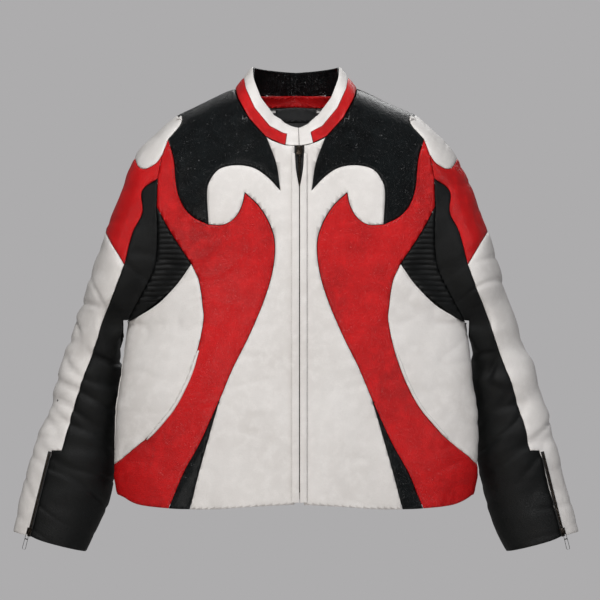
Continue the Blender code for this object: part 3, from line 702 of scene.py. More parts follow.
def yoke_outline():
    neck = [p for p in smooth(NECK_FRONT) if p.x >= 0.0449]
    return loop(smooth(SHOULDER_SEAM), smooth(ARMHOLE_TOP), smooth(YOKE_OUT),
                back(smooth(YOKE_ARC)), back(smooth(YOKE_IN)), back(neck))


def back_yoke_outline():
    neck = smooth([YOKE_IN_BACK[0], (0.07, -0.001), SHOULDER_SEAM[0]])
    return loop(smooth(SHOULDER_SEAM), smooth(ARMHOLE_TOP), smooth(YOKE_OUT),
                back(smooth(YOKE_ARC)), back(smooth(YOKE_IN_BACK)), neck)


def flame_outline():
    armhole = smooth(ARMHOLE_CAP) + smooth(ARMHOLE_RED) + smooth(ARMHOLE_BLACK) + smooth(ARMHOLE_LOW)
    side = smooth([(0.2765, -0.5665), (0.2765, -0.59), (0.272, -0.612)])
    return loop(armhole, smooth(FLAME_OUT), side, back(part_of_hem(0.1913, 0.272)), back(smooth(WEDGE_OUT)),
                back(smooth(FLAME_FRONT)), back(smooth(HOOK)), back(smooth(YOKE_OUT)))


def side_outline():
    edge = [Vector((body_half(z), z)) for z in (-0.3525, -0.38, -0.42, -0.46, -0.50, -0.54)]
    return loop(smooth(GUSSET_LOW), edge, back(smooth(FLAME_OUT)))


def wedge_outline():
    return loop(smooth(WEDGE_OUT), back(part_of_hem(0.16, 0.1913)), back(smooth(WEDGE_IN)))


def centre_outline(edge):
    """White panel beside the front edge, which lies at X = edge."""
    neck = [p for p in smooth(NECK_FRONT) if edge + 0.001 < p.x <= 0.0451]
    top = Vector((edge, read_row([(x, z) for x, z in reversed(NECK_FRONT)], edge)))
    front_edge = smooth([(edge, hem_height(edge)), top])
    return loop(front_edge, back(neck), smooth(YOKE_IN), smooth(YOKE_ARC), smooth(HOOK), smooth(FLAME_FRONT),
                smooth(WEDGE_IN), back(part_of_hem(edge, 0.16)))


def back_centre_outline():
    half = loop(smooth(NECK_BACK), smooth(YOKE_IN_BACK), smooth(YOKE_ARC), smooth(HOOK), smooth(FLAME_FRONT),
                smooth(WEDGE_IN), back(part_of_hem(0.0, 0.16)))
    other = [Vector((-p.x, p.y)) for p in reversed(half) if p.x > 0.0005]
    return half + other


def build_body():
    panel("front_yoke", on(FRONT, yoke_outline()), FRONT, "black_leather", BOTH)
    panel("front_flame", on(FRONT, flame_outline()), FRONT, "red_leather", BOTH)
    panel("front_side", on(FRONT, side_outline()), FRONT, "white_leather", BOTH)
    panel("front_hem_wedge", on(FRONT, wedge_outline()), FRONT, "black_leather", BOTH)
    panel("left_front_centre", on(FRONT, centre_outline(OPEN_X + EDGE_CLEAR)), FRONT, "white_leather")
    right = on(FRONT, centre_outline(EDGE_CLEAR - OPEN_X))
    panel("right_front_centre", [Vector((-p.x, p.y)) for p in right], FRONT, "white_leather")
    panel("back_yoke", on(REAR, back_yoke_outline()), REAR, "black_leather", BOTH)
    panel("back_flame", on(REAR, flame_outline()), REAR, "red_leather", BOTH)
    panel("back_side", on(REAR, side_outline()), REAR, "white_leather", BOTH)
    panel("back_hem_wedge", on(REAR, wedge_outline()), REAR, "black_leather", BOTH)
    panel("back_centre", on(REAR, back_centre_outline()), REAR, "white_leather")


def inner_edge(start, end, count):
    """Points down the underarm seam of the sleeve, in its flat coordinates."""
    return [Vector((-math.pi / 2 * SLEEVE_TURN, -(start + (end - start) * k / count) * SLEEVE_STEP))
            for k in range(count + 1)]


def round_back(curve):
    """The same curve on the back half of the sleeve."""
    return [Vector((math.pi * SLEEVE_TURN - p.x, p.y)) for p in curve]


def both_halves(front_curve):
    """An outline that runs over the outer edge of the sleeve to the mirrored curve behind it."""
    return loop(front_curve, back(round_back(front_curve)))


def build_sleeves():
    cap = on(SLEEVE, [Vector(SHOULDER_SEAM[1])] + smooth(ARMHOLE_TOP)[1:] + smooth(ARMHOLE_CAP)[1:]
             + smooth(CAP_LOW)[1:])
    panel("shoulder_cap", both_halves(cap), SLEEVE, "white_leather", BOTH)
    red = on(SLEEVE, back(smooth(CAP_LOW)) + smooth(ARMHOLE_RED)[1:] + smooth(RED_IN)[1:]
             + smooth(RED_LOW)[1:])
    panel("upper_arm", both_halves(red), SLEEVE, "red_leather", BOTH)
    corner = SLEEVE.flat(*CUFF_SEAM[-1])
    edge_turn = math.pi / 2 * SLEEVE_TURN
    cuff = smooth([(corner.x, -CUFF_FRONT * SLEEVE_STEP), (edge_turn, -CUFF_END * SLEEVE_STEP)])
    seam = on(SLEEVE, smooth(OUTER_SEAM) + smooth(CUFF_STEP)[1:] + smooth(CUFF_SEAM)[1:-1])
    outer = on(SLEEVE, back(smooth(RED_LOW))) + seam[1:] + cuff
    panel("sleeve_outer", both_halves(outer), SLEEVE, "white_leather", BOTH)
    bottom = smooth([cuff[0], (0.0, -CUFF_END * SLEEVE_STEP), (-edge_turn, -CUFF_END * SLEEVE_STEP)])
    underarm = [Vector((0.263, -0.350))]
    start = on(SLEEVE, underarm + back(smooth(GUSSET_OUT))[1:] + back(smooth(ARMHOLE_BLACK))[1:])
    inner = loop(start, on(SLEEVE, smooth(RED_IN)), seam, bottom,
                 back(inner_edge(UNDERARM_TOP, CUFF_END, 90)))
    for word, outline in (("front", inner), ("back", back(round_back(inner)))):
        panel("sleeve_" + word, outline, SLEEVE, "sleeve_leather", BOTH, ribbed=True, grid=(GRID, RIB_GRID))
    outline = loop(smooth(ARMHOLE_LOW), smooth(GUSSET_LOW), back(smooth(GUSSET_OUT)))
    for side, word in ((-1, "front"), (1, "back")):
        panel(word + "_gusset", outline, Gusset(side), "sleeve_leather", BOTH, ribbed=True, grid=GUSSET_GRID)


def band(left, right, low, high):
    """A rectangle with its edges cut into short steps, so that it can bend."""
    return loop(smooth([(left, low), (right, low)]), smooth([(right, low), (right, high)]),
                smooth([(right, high), (left, high)]), smooth([(left, high), (left, low)]))


def collar_top(start, end):
    """The top edge of the collar, which dips to a notch where its two ends meet."""
    first, last = min(start, end), max(start, end)
    high = COLLAR_HEIGHT
    left = smooth([(first, high - NOTCH_DROP), (first + NOTCH_RUN * 0.5, high - NOTCH_DROP * 0.5),
                   (first + NOTCH_RUN, high)])
    right = [Vector((first + last - p.x, p.y)) for p in reversed(left)]
    return back(left + smooth([(first + NOTCH_RUN, high), (last - NOTCH_RUN, high)])[1:-1] + right)


def build_collar():
    first, last = OPEN_X, NECK_LENGTH + OPEN_X
    grid = (COLLAR_GRID, COLLAR_GRID)
    lower = band(first + COLLAR_TAB, last - COLLAR_TAB, COLLAR_START, COLLAR_SPLIT)
    panel("collar_lower_band", lower, COLLAR, "red_leather", grid=grid, soft=False)
    tab_in = smooth([(first + COLLAR_TAB, COLLAR_SPLIT), (last - COLLAR_TAB, COLLAR_SPLIT)])
    upper = loop(smooth([(first, COLLAR_START), (first + COLLAR_TAB, COLLAR_START)]),
                 smooth([(first + COLLAR_TAB, COLLAR_START), (first + COLLAR_TAB, COLLAR_SPLIT)]), tab_in,
                 smooth([(last - COLLAR_TAB, COLLAR_SPLIT), (last - COLLAR_TAB, COLLAR_START)]),
                 smooth([(last - COLLAR_TAB, COLLAR_START), (last, COLLAR_START)]),
                 smooth([(last, COLLAR_START), (last, COLLAR_HEIGHT - NOTCH_DROP)]), collar_top(last, first),
                 smooth([(first, COLLAR_HEIGHT - NOTCH_DROP), (first, COLLAR_START)]))
    panel("collar_upper_band", upper, COLLAR, "white_leather", grid=grid, soft=False)
    stand = loop(smooth([(first, COLLAR_START), (last, COLLAR_START)]),
                 smooth([(last, COLLAR_START), (last, COLLAR_HEIGHT - NOTCH_DROP)]), collar_top(last, first),
                 smooth([(first, COLLAR_HEIGHT - NOTCH_DROP), (first, COLLAR_START)]))
    raised = [p + Vector((0, COLLAR_LINING_RISE * (p.y > COLLAR_SPLIT))) for p in stand]
    panel("collar_lining", raised, COLLAR, "black_leather", depth=COLLAR_LINING_DEPTH, grid=grid, soft=False)


def build_inside():
    panel("neck_facing", on(REAR, band(*FACING)), REAR, "red_leather", depth=FACING_DEPTH, thick=FACING_THICK,
          soft=False)
    panel("neck_label", on(REAR, band(*LABEL)), REAR, "label_cloth", depth=LABEL_DEPTH, thick=LABEL_THICK,
          soft=False, rolled=False)


def build_plackets():
    """Two folded lips that meet over the zip and part in a narrow V above it."""
    for word, outer, side in (("right", PLACKET_RIGHT_EDGE, -1), ("left", PLACKET_LEFT_EDGE, 1)):
        meet = PLACKET_MEET + PLACKET_GAP * side
        parting = smooth([(meet, PLACKET_TOP)] + [(meet + side * aside, z) for aside, z in LIP_PARTING])
        lip = smooth([(meet, PLACKET_BOTTOM), (meet, PLACKET_TOP)]) + parting[1:]
        outline = loop(lip, smooth([lip[-1], (outer, LIP_TOP)]),
                       smooth([(outer, LIP_TOP), (outer, PLACKET_BOTTOM)]),
                       smooth([(outer, PLACKET_BOTTOM), (meet, PLACKET_BOTTOM)]))
        panel(word + "_zip_placket", outline, PLACKET, "white_leather", grid=PLACKET_GRID, soft=False)


def direction(curve, k):
    """Which way the curve runs at its point k."""
    return (curve[min(k + 1, len(curve) - 1)] - curve[max(k - 1, 0)]).normalized()


def sew(name, rows, finish):
    """All the thread of one colour: rows are (surface, front-view curve, offset to its left, sides)."""
    bm = bmesh.new()
    for surface, curve, aside, sides in rows:
        spots = []
        for k, p in enumerate(curve):
            ahead = direction(curve, k)
            flat = surface.flat(*(p + Vector((-ahead.y, ahead.x)) * aside))
            spots.append(surface.frame(flat.x, flat.y))
        for side in sides:
            flip = towards(side)
            line = []
            for spot, outward in spots:
                spot, outward = spot * flip, outward * flip
                lift = relief(spot, surface.arm) - roll(abs(aside)) + 0.0002
                line.append((spot + outward * lift, outward))
            stitch_line(bm, line)
    finish_piece(name, bm, finish)


def frame_matrix(across, inward, up):
    """Turns X, Y and Z to the three directions."""
    return Matrix((across, inward, up)).transposed().to_4x4()


def stitch_line(bm, line):
    """Short threads end to end along a line of (point, outward) pairs."""
    carried = 0.0
    for (start, outward), (end, _) in zip(line, line[1:]):
        run = end - start
        length = run.length
        if length < 1e-6:
            continue
        along = run / length
        at = STITCH_PITCH - carried
        while at <= length:
            up = (outward - along * outward.dot(along)).normalized()
            turn = frame_matrix(along, up.cross(along), up)
            place = Matrix.Translation(start + along * at) @ turn @ Matrix.Diagonal((*STITCH_HALF, 1))
            bmesh.ops.create_icosphere(bm, subdivisions=1, radius=1.0, matrix=place)
            at += STITCH_PITCH
        carried = (carried + length) % STITCH_PITCH


def build_stitching():
    """Topstitching beside each seam, a row along the hem, and a row round the front of each cuff."""
    reach = STITCH_REACH
    black, red, white = [], [], []
    for surface in (FRONT, REAR):
        red += [(surface, smooth(HOOK), reach, BOTH), (surface, smooth(YOKE_OUT), reach, BOTH),
                (surface, smooth(FLAME_FRONT)[2:], reach, BOTH)]
        red += [(surface, smooth(WEDGE_OUT)[1:], reach, BOTH), (surface, smooth(FLAME_OUT), -reach, BOTH)]
        white.append((surface, smooth(GUSSET_LOW)[2:], -reach, BOTH))
        hem = [p + Vector((0, HEM_STITCH_RISE)) for p in part_of_hem(0.014, 0.27)]
        for thread_rows, (low, high) in ((white, HEM_STITCH_WHITE), (red, HEM_STITCH_RED),
                                         (black, HEM_STITCH_BLACK)):
            thread_rows.append((surface, [p for p in hem if low < p.x < high], 0.0, BOTH))
        black.append((surface, smooth(YOKE_ARC)[2:], reach, BOTH))
    for side in BOTH:
        edge = EDGE_CLEAR + OPEN_X * side
        seam = smooth([(edge, z) for z in FRONT_STITCH_ENDS])
        white.append((FRONT, seam, FRONT_STITCH_REACH, (side,)))
    start, end = CUFF_STITCH_TURNS
    around = [start + k / 24 * (end - start) for k in range(25)]
    cuff_b = -(CUFF_END - CUFF_STITCH_RISE) * SLEEVE_STEP
    cuff = [SLEEVE.point(turn * SLEEVE_TURN, cuff_b) for turn in around]
    white.append((SLEEVE, [Vector((p.x, p.z)) for p in cuff], 0.0, BOTH))
    sew("red_topstitch", red, "red_thread")
    sew("white_topstitch", white, "white_thread")
    sew("black_topstitch", black, "black_thread")


def cuff_line():
    """Top and bottom of the cuff zip on the wearer's left sleeve, and its outward direction."""
    ends = []
    for x, z in (CUFF_SEAM[0], CUFF_SEAM[-1]):
        flat = SLEEVE.flat(x, z)
        ends.append(SLEEVE.point(flat.x, flat.y))
    flat = SLEEVE.flat(*CUFF_SEAM[1])
    return ends[0], ends[1], SLEEVE.frame(flat.x, flat.y)[1]


def cuff_frame(side):
    """Axes of the cuff zip: X across it, Y inwards, Z up along it."""
    top, bottom, normal = cuff_line()
    up = (top - bottom).normalized()
    inward = -(normal - up * normal.dot(up)).normalized()
    up, inward = up * towards(side), inward * towards(side)
    return frame_matrix(inward.cross(up), inward, up)


def add_block(bm, place, centre, size, edge=0.25):
    """A bevelled block in the frame that place gives."""
    spot = place @ Matrix.Translation(centre) @ Matrix.Diagonal((*size, 1))
    made = bmesh.ops.create_cube(bm, size=1.0, matrix=spot)
    edges = list({e for v in made["verts"] for e in v.link_edges})
    bmesh.ops.bevel(bm, geom=edges, offset=min(size) * edge, segments=2, profile=0.5, affect="EDGES",
                    material=-1)


def slider_body(name, place, size, stands_for, body):
    """Zip slider: two plates round the teeth with a bridge that carries the pull."""
    bm = bmesh.new()
    wide, deep, tall = size
    add_block(bm, place, (0, -deep * 0.30, 0), (wide, deep * 0.34, tall))
    add_block(bm, place, (0, deep * 0.33, 0), (wide * 0.92, deep * 0.30, tall))
    add_block(bm, place, (0, 0, tall * 0.30), (wide * 0.30, deep * 0.7, tall * 0.34))
    add_block(bm, place, (0, -deep * 0.62, tall * 0.05), (wide * 0.26, deep * 0.42, tall * 0.62))
    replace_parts(finish_piece(name, bm, "gunmetal", body), stands_for)


def pull_body(name, place, stands_for, body):
    """Flat open pull: a rounded frame, wider at its foot, with a bar across it."""
    bm = bmesh.new()
    wide, deep, tall = PULL_SIZE
    outline = []
    for start, radius, z in ((0.0, wide * 0.42, 0.0), (math.pi, wide * 0.5, -tall + wide * 0.7)):
        for k in range(13):
            angle = start + math.pi * k / 12
            outline.append((math.cos(angle) * radius, z + math.sin(angle) * radius))
    face = bm.faces.new([bm.verts.new((x, -deep / 2, z)) for x, z in outline])
    bmesh.ops.inset_region(bm, faces=[face], thickness=PULL_FRAME, use_boundary=True, use_even_offset=True)
    bmesh.ops.delete(bm, geom=[face], context="FACES")
    lifted = bmesh.ops.extrude_face_region(bm, geom=bm.faces[:])
    far = [v for v in lifted["geom"] if isinstance(v, bmesh.types.BMVert)]
    bmesh.ops.translate(bm, vec=(0, deep, 0), verts=far)
    bmesh.ops.recalc_face_normals(bm, faces=bm.faces[:])
    bmesh.ops.bevel(bm, geom=[e for e in bm.edges if len(e.link_faces) == 2 and e.calc_face_angle() > 1.2],
                    offset=0.0003, segments=2, profile=0.5, affect="EDGES", material=-1)
    bmesh.ops.create_cube(bm, size=1.0, matrix=Matrix.Translation((0, 0, -tall * 0.42)) @ Matrix.Diagonal(
        (wide * 0.7, deep * 0.8, 0.0016, 1)))
    bmesh.ops.transform(bm, matrix=place, verts=bm.verts)
    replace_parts(finish_piece(name, bm, "gunmetal", body), stands_for)


def teeth(bm, place, low, high, gap, share=1.0):
    """Two rows of metal teeth along the local Z axis, their width a share of the full one."""
    wide, deep, tall = TOOTH_SIZE
    shape = Matrix.Diagonal((wide * share, deep, tall, 1))
    for k in range(int((high - low) / TOOTH_PITCH)):
        for side in (-1, 1):
            z = low + (k + (0.5 if side > 0 else 0.0)) * TOOTH_PITCH
            spot = place @ Matrix.Translation((side * gap, 0, z)) @ shape
            bmesh.ops.create_cube(bm, size=1.0, matrix=spot)


def build_front_zip():
    """Two woven tapes with a bead along the inner edge, the teeth, the box, the slider and its pull."""
    straight = Matrix.Translation((OPEN_X, 0, 0))
    middle, length = (ZIP_TOP + ZIP_BOTTOM) / 2, ZIP_TOP - ZIP_BOTTOM
    for side, word in ((1, "left"), (-1, "right")):
        bm = bmesh.new()
        add_block(bm, straight, (side * 0.0054, TAPE_Y - 0.0004, middle), (*TAPE_SIZE, length))
        add_block(bm, straight, (side * 0.0022, TAPE_Y - 0.0012, middle), (*TAPE_BEAD, length), 0.4)
        tape = finish_piece(word + "_front_zip_tape_woven", bm, "zip_tape")
        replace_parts(tape, word + "_front_zip_tape")
    bm = bmesh.new()
    row = straight @ Matrix.Translation((0, TAPE_Y - 0.0018, 0))
    teeth(bm, row, ZIP_BOTTOM + 0.012, SLIDER_Z - 0.008, 0.0008)
    finish_piece("front_zip_teeth", bm, "gunmetal")
    bm = bmesh.new()
    add_block(bm, straight, (0, TAPE_Y - 0.0040, ZIP_BOTTOM + 0.006), BOX_SIZE)
    box = finish_piece("front_zip_box_metal", bm, "gunmetal")
    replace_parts(box, "front_zip_box")
    slider_y = TAPE_Y - 0.0028 - SLIDER_SIZE[1] / 2
    place = Matrix.Translation((OPEN_X, slider_y, SLIDER_Z))
    slider_body("front_slider_metal", place, SLIDER_SIZE, "front_zip_slider", "front_slider")
    place = Matrix.Translation((OPEN_X, slider_y - SLIDER_SIZE[1] / 2 - PULL_CLEAR, SLIDER_Z - 0.002))
    pull_body("front_pull_metal", place, "front_zip_pull", "front_pull")


def build_cuff_zips():
    """On each cuff: tape, teeth, slider and pull, standing on the seam between the sleeve panels."""
    top, bottom, _ = cuff_line()
    length = (top - bottom).length
    for side, word in ((1, "left"), (-1, "right")):
        turn = cuff_frame(side)
        outward = -turn.col[1].xyz
        up = turn.col[2].xyz
        middle = Matrix.Translation((top + bottom) / 2 * towards(side) + outward * CUFF_TAPE_OUT) @ turn
        bm = bmesh.new()
        add_block(bm, middle, (0, 0, 0), (*CUFF_TAPE_SIZE, length - 0.004))
        tape = finish_piece(word + "_cuff_zip_tape_woven", bm, "zip_tape")
        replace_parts(tape, word + "_cuff_zip_tape")
        bm = bmesh.new()
        row, reach = middle @ Matrix.Translation((0, -0.0009, 0)), length / 2 - 0.004
        teeth(bm, row, -reach, reach, 0.0005, CUFF_TOOTH_SHARE)
        finish_piece(word + "_cuff_zip_teeth", bm, "gunmetal")
        spot = bottom * towards(side) + up * CUFF_SLIDER_RISE + outward * CUFF_SLIDER_OUT
        slider_body(word + "_cuff_slider_metal", Matrix.Translation(spot) @ turn, CUFF_SLIDER_SIZE,
                    word + "_cuff_zip_slider", word + "_cuff_slider")
        pull_body(word + "_cuff_pull_metal", Matrix.Translation(spot + outward * CUFF_PULL_OUT) @ turn,
                  word + "_cuff_zip_pull", word + "_cuff_pull")


def build_pocket_welts():
    """White corded edge of the pocket, down the side seam of the front, thinner at its two ends."""
    curve = smooth(POCKET)
    for side, word in ((1, "left"), (-1, "right")):
        bm = bmesh.new()
        flip = towards(side)
        rings = []
        for k, p in enumerate(curve):
            flat = FRONT.flat(p.x, p.y)
            spot, outward = FRONT.frame(flat.x, flat.y)
            run = direction(curve, k)
            ahead = Vector((run.x, 0, run.y))
            spot, outward, ahead = spot * flip, outward * flip, ahead * flip
            beside = outward.cross(ahead).normalized() * side
            taper = min(1.0, 0.45 + 0.55 * min(k, len(curve) - 1 - k) / CORD_TAPER)
            centre = spot + outward * (relief(spot, False) + 0.0006) + beside * 0.0020 * side
            ring = []
            for n in range(CORD_SIDES):
                turn = math.tau * n / CORD_SIDES
                reach = beside * math.cos(turn) * CORD_HALF_WIDTH + outward * math.sin(turn) * CORD_HALF_THICK
                ring.append(bm.verts.new(centre + reach * taper))
            rings.append(ring)
        loops = [[bm.edges.new((start, end)) for start, end in zip(ring, ring[1:] + ring[:1])]
                 for ring in rings]
        for low, high in zip(loops, loops[1:]):
            bmesh.ops.bridge_loops(bm, edges=low + high)
        bmesh.ops.contextual_create(bm, geom=loops[0])
        bmesh.ops.contextual_create(bm, geom=loops[-1])
        bmesh.ops.recalc_face_normals(bm, faces=bm.faces[:])
        item = finish_piece(word + "_pocket_welt_cord", bm, "white_leather")
        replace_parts(item, word + "_pocket_welt")


# Finishes

def srgb(code):
    """A hex colour as linear RGBA."""
    values = [int(code[k:k + 2], 16) / 255 for k in (1, 3, 5)]
    return (*[v / 12.92 if v <= 0.04045 else ((v + 0.055) / 1.055) ** 2.4 for v in values], 1.0)


def node(tree, kind, settings=None, **links):
    """Adds a node, sets its values and links its inputs; a link is given as (node, output name)."""
    made = tree.nodes.new(kind)
    for key, value in (settings or {}).items():
        if hasattr(made, key):
            setattr(made, key, value)
        else:
            made.inputs[key].default_value = value
    for key, (source, output) in links.items():
        tree.links.new(source.outputs[output], made.inputs[key.replace("_", " ")])
    return made


def new_finish(name, settings):
    """An empty material: itself, its node tree, its shader and the place on the piece."""
    made = bpy.data.materials.new(name)
    made.use_nodes = True
    tree = made.node_tree
    shader = tree.nodes["Principled BSDF"]
    for key, value in settings.items():
        shader.inputs[key].default_value = value
    spot = node(tree, "ShaderNodeTexCoord")
    return made, tree, shader, spot


def mix_colour(tree, first, second, share, output="Fac"):
    """Goes from the first colour to the second; each is a hex value or a mix made before."""
    made = node(tree, "ShaderNodeMix", {"data_type": "RGBA", "blend_type": "MIX"})
    tree.links.new(share.outputs[output], made.inputs[0])
    for place, value in ((6, first), (7, second)):
        if isinstance(value, str):
            made.inputs[place].default_value = srgb(value)
        else:
            tree.links.new(value.outputs[2], made.inputs[place])
    return made


def spread(tree, source, output, low, high, to_low=0.0, to_high=1.0):
    """Stretches a value between two limits."""
    made = node(tree, "ShaderNodeMapRange", {"clamp": True})
    tree.links.new(source.outputs[output], made.inputs["Value"])
    for key, value in (("From Min", low), ("From Max", high), ("To Min", to_low), ("To Max", to_high)):
        made.inputs[key].default_value = value
    return made


def cloudy(tree, spot, scale, detail, rough=0.6):
    """A noise pattern with so many patches to the metre."""
    return node(tree, "ShaderNodeTexNoise", {"Scale": scale, "Detail": detail, "Roughness": rough},
                Vector=(spot, "Object"))


def leather(name, light, base, dark, rough, grain, settings, bump):
    """Grained leather with a thin lacquer: pebbled grain, cloudy colour, painted shade in the grain's
    hollows, uneven gloss.

    grain is the number of pebbles to the metre, so 500 makes them 2 mm wide: coarser than real grain, which
    would be too fine to show.
    """
    made, tree, shader, spot = new_finish(name, settings)
    cloud = cloudy(tree, spot, 9.0, 4.0)
    wear = cloudy(tree, spot, 60.0, 3.0)
    cells = node(tree, "ShaderNodeTexVoronoi",
                 {"feature": "DISTANCE_TO_EDGE", "Scale": grain, "Randomness": 1.0}, Vector=(spot, "Object"))
    fine = cloudy(tree, spot, grain * 0.55, 3.0, 0.65)
    broad = mix_colour(tree, dark, base, spread(tree, cloud, "Fac", 0.30, 0.62), "Result")
    lit = mix_colour(tree, broad, light, spread(tree, wear, "Fac", 0.45, 0.80), "Result")
    # Painted shade: the dark colour is mixed into the hollows between the pebbles of the grain, where the
    # bump lies low.
    grain_hollow_shade = mix_colour(tree, dark, lit, spread(tree, cells, "Distance", 0.0, 0.10, 0.35, 1.0), "Result")
    tree.links.new(grain_hollow_shade.outputs[2], shader.inputs["Base Color"])
    gloss = spread(tree, wear, "Fac", 0.3, 0.75, rough - 0.07, rough + 0.09)
    tree.links.new(gloss.outputs["Result"], shader.inputs["Roughness"])
    pebble = spread(tree, cells, "Distance", 0.0, 0.28)
    rise = node(tree, "ShaderNodeMath", {"operation": "MULTIPLY_ADD"})
    tree.links.new(fine.outputs["Fac"], rise.inputs[0])
    rise.inputs[1].default_value = 0.9
    tree.links.new(pebble.outputs["Result"], rise.inputs[2])
    raised = node(tree, "ShaderNodeBump", {"Strength": bump, "Distance": 0.0009}, Height=(rise, "Value"))
    tree.links.new(raised.outputs["Normal"], shader.inputs["Normal"])
    return made


def thread(name, light, dark):
    """Twisted polyester thread: faint stripes of light and shade along each stitch."""
    made, tree, shader, spot = new_finish(name, {"Roughness": 0.6, "Sheen Weight": 0.2})
    twist = node(tree, "ShaderNodeTexNoise", {"Scale": 900.0, "Detail": 2.0}, Vector=(spot, "Object"))
    mixed = mix_colour(tree, dark, light, spread(tree, twist, "Fac", 0.35, 0.65), "Result")
    tree.links.new(mixed.outputs[2], shader.inputs["Base Color"])
    return made


def cloth(name, light, dark, scale, settings):
    """Plain woven cloth: crossing threads raised over each other, 0.31 / scale metres apart, with painted
    highlight where they cross on top and painted shade between them.
    """
    made, tree, shader, spot = new_finish(name, settings)
    warp = node(tree, "ShaderNodeTexWave", {"bands_direction": "X", "Scale": scale, "Distortion": 0.6},
                Vector=(spot, "Object"))
    weft = node(tree, "ShaderNodeTexWave", {"bands_direction": "Z", "Scale": scale, "Distortion": 0.6},
                Vector=(spot, "Object"))
    weave_and_shade = node(tree, "ShaderNodeMath", {"operation": "MULTIPLY"})
    tree.links.new(warp.outputs["Fac"], weave_and_shade.inputs[0])
    tree.links.new(weft.outputs["Fac"], weave_and_shade.inputs[1])
    # Painted highlight and shade: the colour is lighter on the raised crossings of the threads and darker
    # between them.
    mixed = mix_colour(tree, dark, light, weave_and_shade, "Value")
    tree.links.new(mixed.outputs[2], shader.inputs["Base Color"])
    raised = node(tree, "ShaderNodeBump", {"Strength": 0.4, "Distance": 0.0004}, Height=(weave_and_shade, "Value"))
    tree.links.new(raised.outputs["Normal"], shader.inputs["Normal"])
    return made


def worn_metal(name, light, dark):
    """Darkened zip metal: patchy tarnish with brighter rubbed spots."""
    made, tree, shader, spot = new_finish(name, {"Metallic": 1.0})
    patch = cloudy(tree, spot, 260.0, 4.0)
    mixed = mix_colour(tree, dark, light, spread(tree, patch, "Fac", 0.38, 0.66), "Result")
    tree.links.new(mixed.outputs[2], shader.inputs["Base Color"])
    gloss = spread(tree, patch, "Fac", 0.3, 0.7, 0.42, 0.24)
    tree.links.new(gloss.outputs["Result"], shader.inputs["Roughness"])
    return made


COATED = {"Coat Weight": 0.10, "Coat Roughness": 0.26, "Specular IOR Level": 0.24}
LACQUERED = {"Coat Weight": 0.12, "Coat Roughness": 0.22, "Specular IOR Level": 0.18}
CHALKY = {"Coat Weight": 0.05, "Coat Roughness": 0.4}
DULL = {"Specular IOR Level": 0.22}
FINISHES = {name: maker(name, *values) for maker, name, *values in (
    # pigmented cowhide with a matt topcoat: off-white, barely grained, with painted shade in the hollows of
    # its grain
    (leather, "white_leather", "#EAE7E4", "#E3E0DD", "#D6D2CE", 0.52, 620.0, CHALKY, 0.16),
    # dyed cowhide with a satin topcoat: clear red with deeper clouds and a broken sheen
    (leather, "red_leather", "#DE171A", "#CF0F13", "#AA080C", 0.40, 560.0, COATED, 0.55),
    # drum-dyed cowhide, lacquered: near black, strongly pebbled, so that it sparkles where light grazes it
    (leather, "black_leather", "#12181A", "#0B1012", "#050708", 0.34, 480.0, LACQUERED, 0.9),
    # the same hide unlacquered on the sleeves: soft black that reflects little
    (leather, "sleeve_leather", "#0B0D0E", "#060808", "#030404", 0.50, 560.0, DULL, 0.3),
    # plain polyester lining, 0.6 mm between threads: black with a faint sheen
    (cloth, "black_lining", "#1C1C1E", "#0C0C0D", 520.0, {"Roughness": 0.55, "Sheen Weight": 0.3}),
    # woven label, 0.35 mm between threads: finer and a little bluer than the lining
    (cloth, "label_cloth", "#16171A", "#08090A", 900.0, {"Roughness": 0.45, "Sheen Weight": 0.2}),
    # woven polyester zip tape, 0.4 mm between threads: dull black
    (cloth, "zip_tape", "#191A1B", "#0A0A0B", 800.0, {"Roughness": 0.8, "Sheen Weight": 0.2}),
    # blackened brass: dark brown-grey metal, brighter where it is rubbed
    (worn_metal, "gunmetal", "#544C44", "#211D1A"),
    # bonded polyester thread: darker than the red and the white leather and paler than the black one
    (thread, "red_thread", "#B0181B", "#7A0C10"),
    (thread, "white_thread", "#E4E1DD", "#B9B5B0"),
    (thread, "black_thread", "#1A1D1F", "#060708"),
)}


# Floor, air, lights and camera

def build_floor():
    """A grey floor below the jacket, to stand it in a room; nothing touches it."""
    bm = bmesh.new()
    bmesh.ops.create_circle(bm, cap_ends=True, segments=96, radius=FLOOR_RADIUS,
                            matrix=Matrix.Translation((0, 0, FLOOR_Z)))
    mesh = bpy.data.meshes.new("studio_floor")
    bm.to_mesh(mesh)
    bm.free()
    floor = bpy.data.objects.new("studio_floor", mesh)
    bpy.context.scene.collection.objects.link(floor)
    paint, _, shader, _ = new_finish("floor_paint", {"Roughness": 0.8})
    shader.inputs["Base Color"].default_value = srgb("#CFCDCB")
    mesh.materials.append(paint)


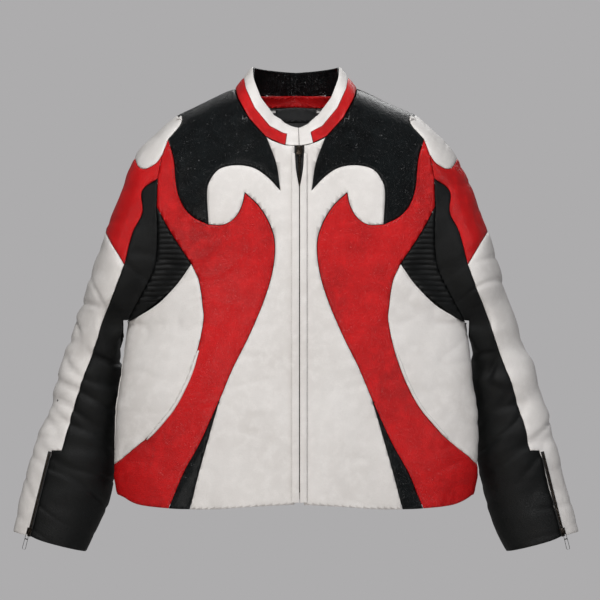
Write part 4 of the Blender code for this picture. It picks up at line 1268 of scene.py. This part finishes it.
def build_air():
    """Soft light from all round, with a plain grey backdrop seen behind the jacket."""
    world = bpy.data.worlds.new("studio_air")
    world.use_nodes = True
    air = world.node_tree
    soft = air.nodes["Background"]
    soft.inputs["Color"].default_value = srgb("#C3C2C3")
    soft.inputs["Strength"].default_value = 0.26
    seen = node(air, "ShaderNodeBackground", {"Color": srgb("#ADACAD"), "Strength": 1.0})
    eye = node(air, "ShaderNodeLightPath")
    both = node(air, "ShaderNodeMixShader", {}, Fac=(eye, "Is Camera Ray"))
    air.links.new(soft.outputs[0], both.inputs[1])
    air.links.new(seen.outputs[0], both.inputs[2])
    air.links.new(both.outputs[0], air.nodes["World Output"].inputs["Surface"])
    bpy.context.scene.world = world


def aim_at(item, spot, target):
    """Puts a lamp or the camera at the spot and turns it to the target."""
    bpy.context.scene.collection.objects.link(item)
    item.location = spot
    item.rotation_euler = (Vector(target) - Vector(spot)).to_track_quat("-Z", "Y").to_euler()


def build_lights():
    for name, spot, target, size, power, colour in LIGHTS:
        data = bpy.data.lights.new(name, "AREA")
        data.size = size
        data.energy = power
        data.color = srgb(colour)[:3]
        aim_at(bpy.data.objects.new(name, data), spot, target)
    bpy.context.scene.view_settings.view_transform = "Standard"


def build_camera():
    """A long lens straight in front of the jacket."""
    camera = bpy.data.objects.new("camera", bpy.data.cameras.new("camera"))
    aim_at(camera, Vector(CAMERA_AIM) - Vector((0, CAMERA_AWAY, 0)), CAMERA_AIM)
    camera.data.lens = CAMERA_LENS
    camera.data.sensor_width = CAMERA_SENSOR
    bpy.context.scene.camera = camera


def line_inside():
    """Gives the linings and pocket bags their cloth; the collar's lining is leather, a piece of its own."""
    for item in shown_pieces():
        if ("lining" in item.name or "pocket_bag" in item.name) and "collar" not in item.name:
            item.data.materials.clear()
            item.data.materials.append(FINISHES["black_lining"])


def main():
    build_body()
    build_sleeves()
    build_collar()
    build_inside()
    build_plackets()
    build_stitching()
    build_front_zip()
    build_cuff_zips()
    build_pocket_welts()
    line_inside()
    build_floor()
    build_air()
    build_lights()
    build_camera()


main()
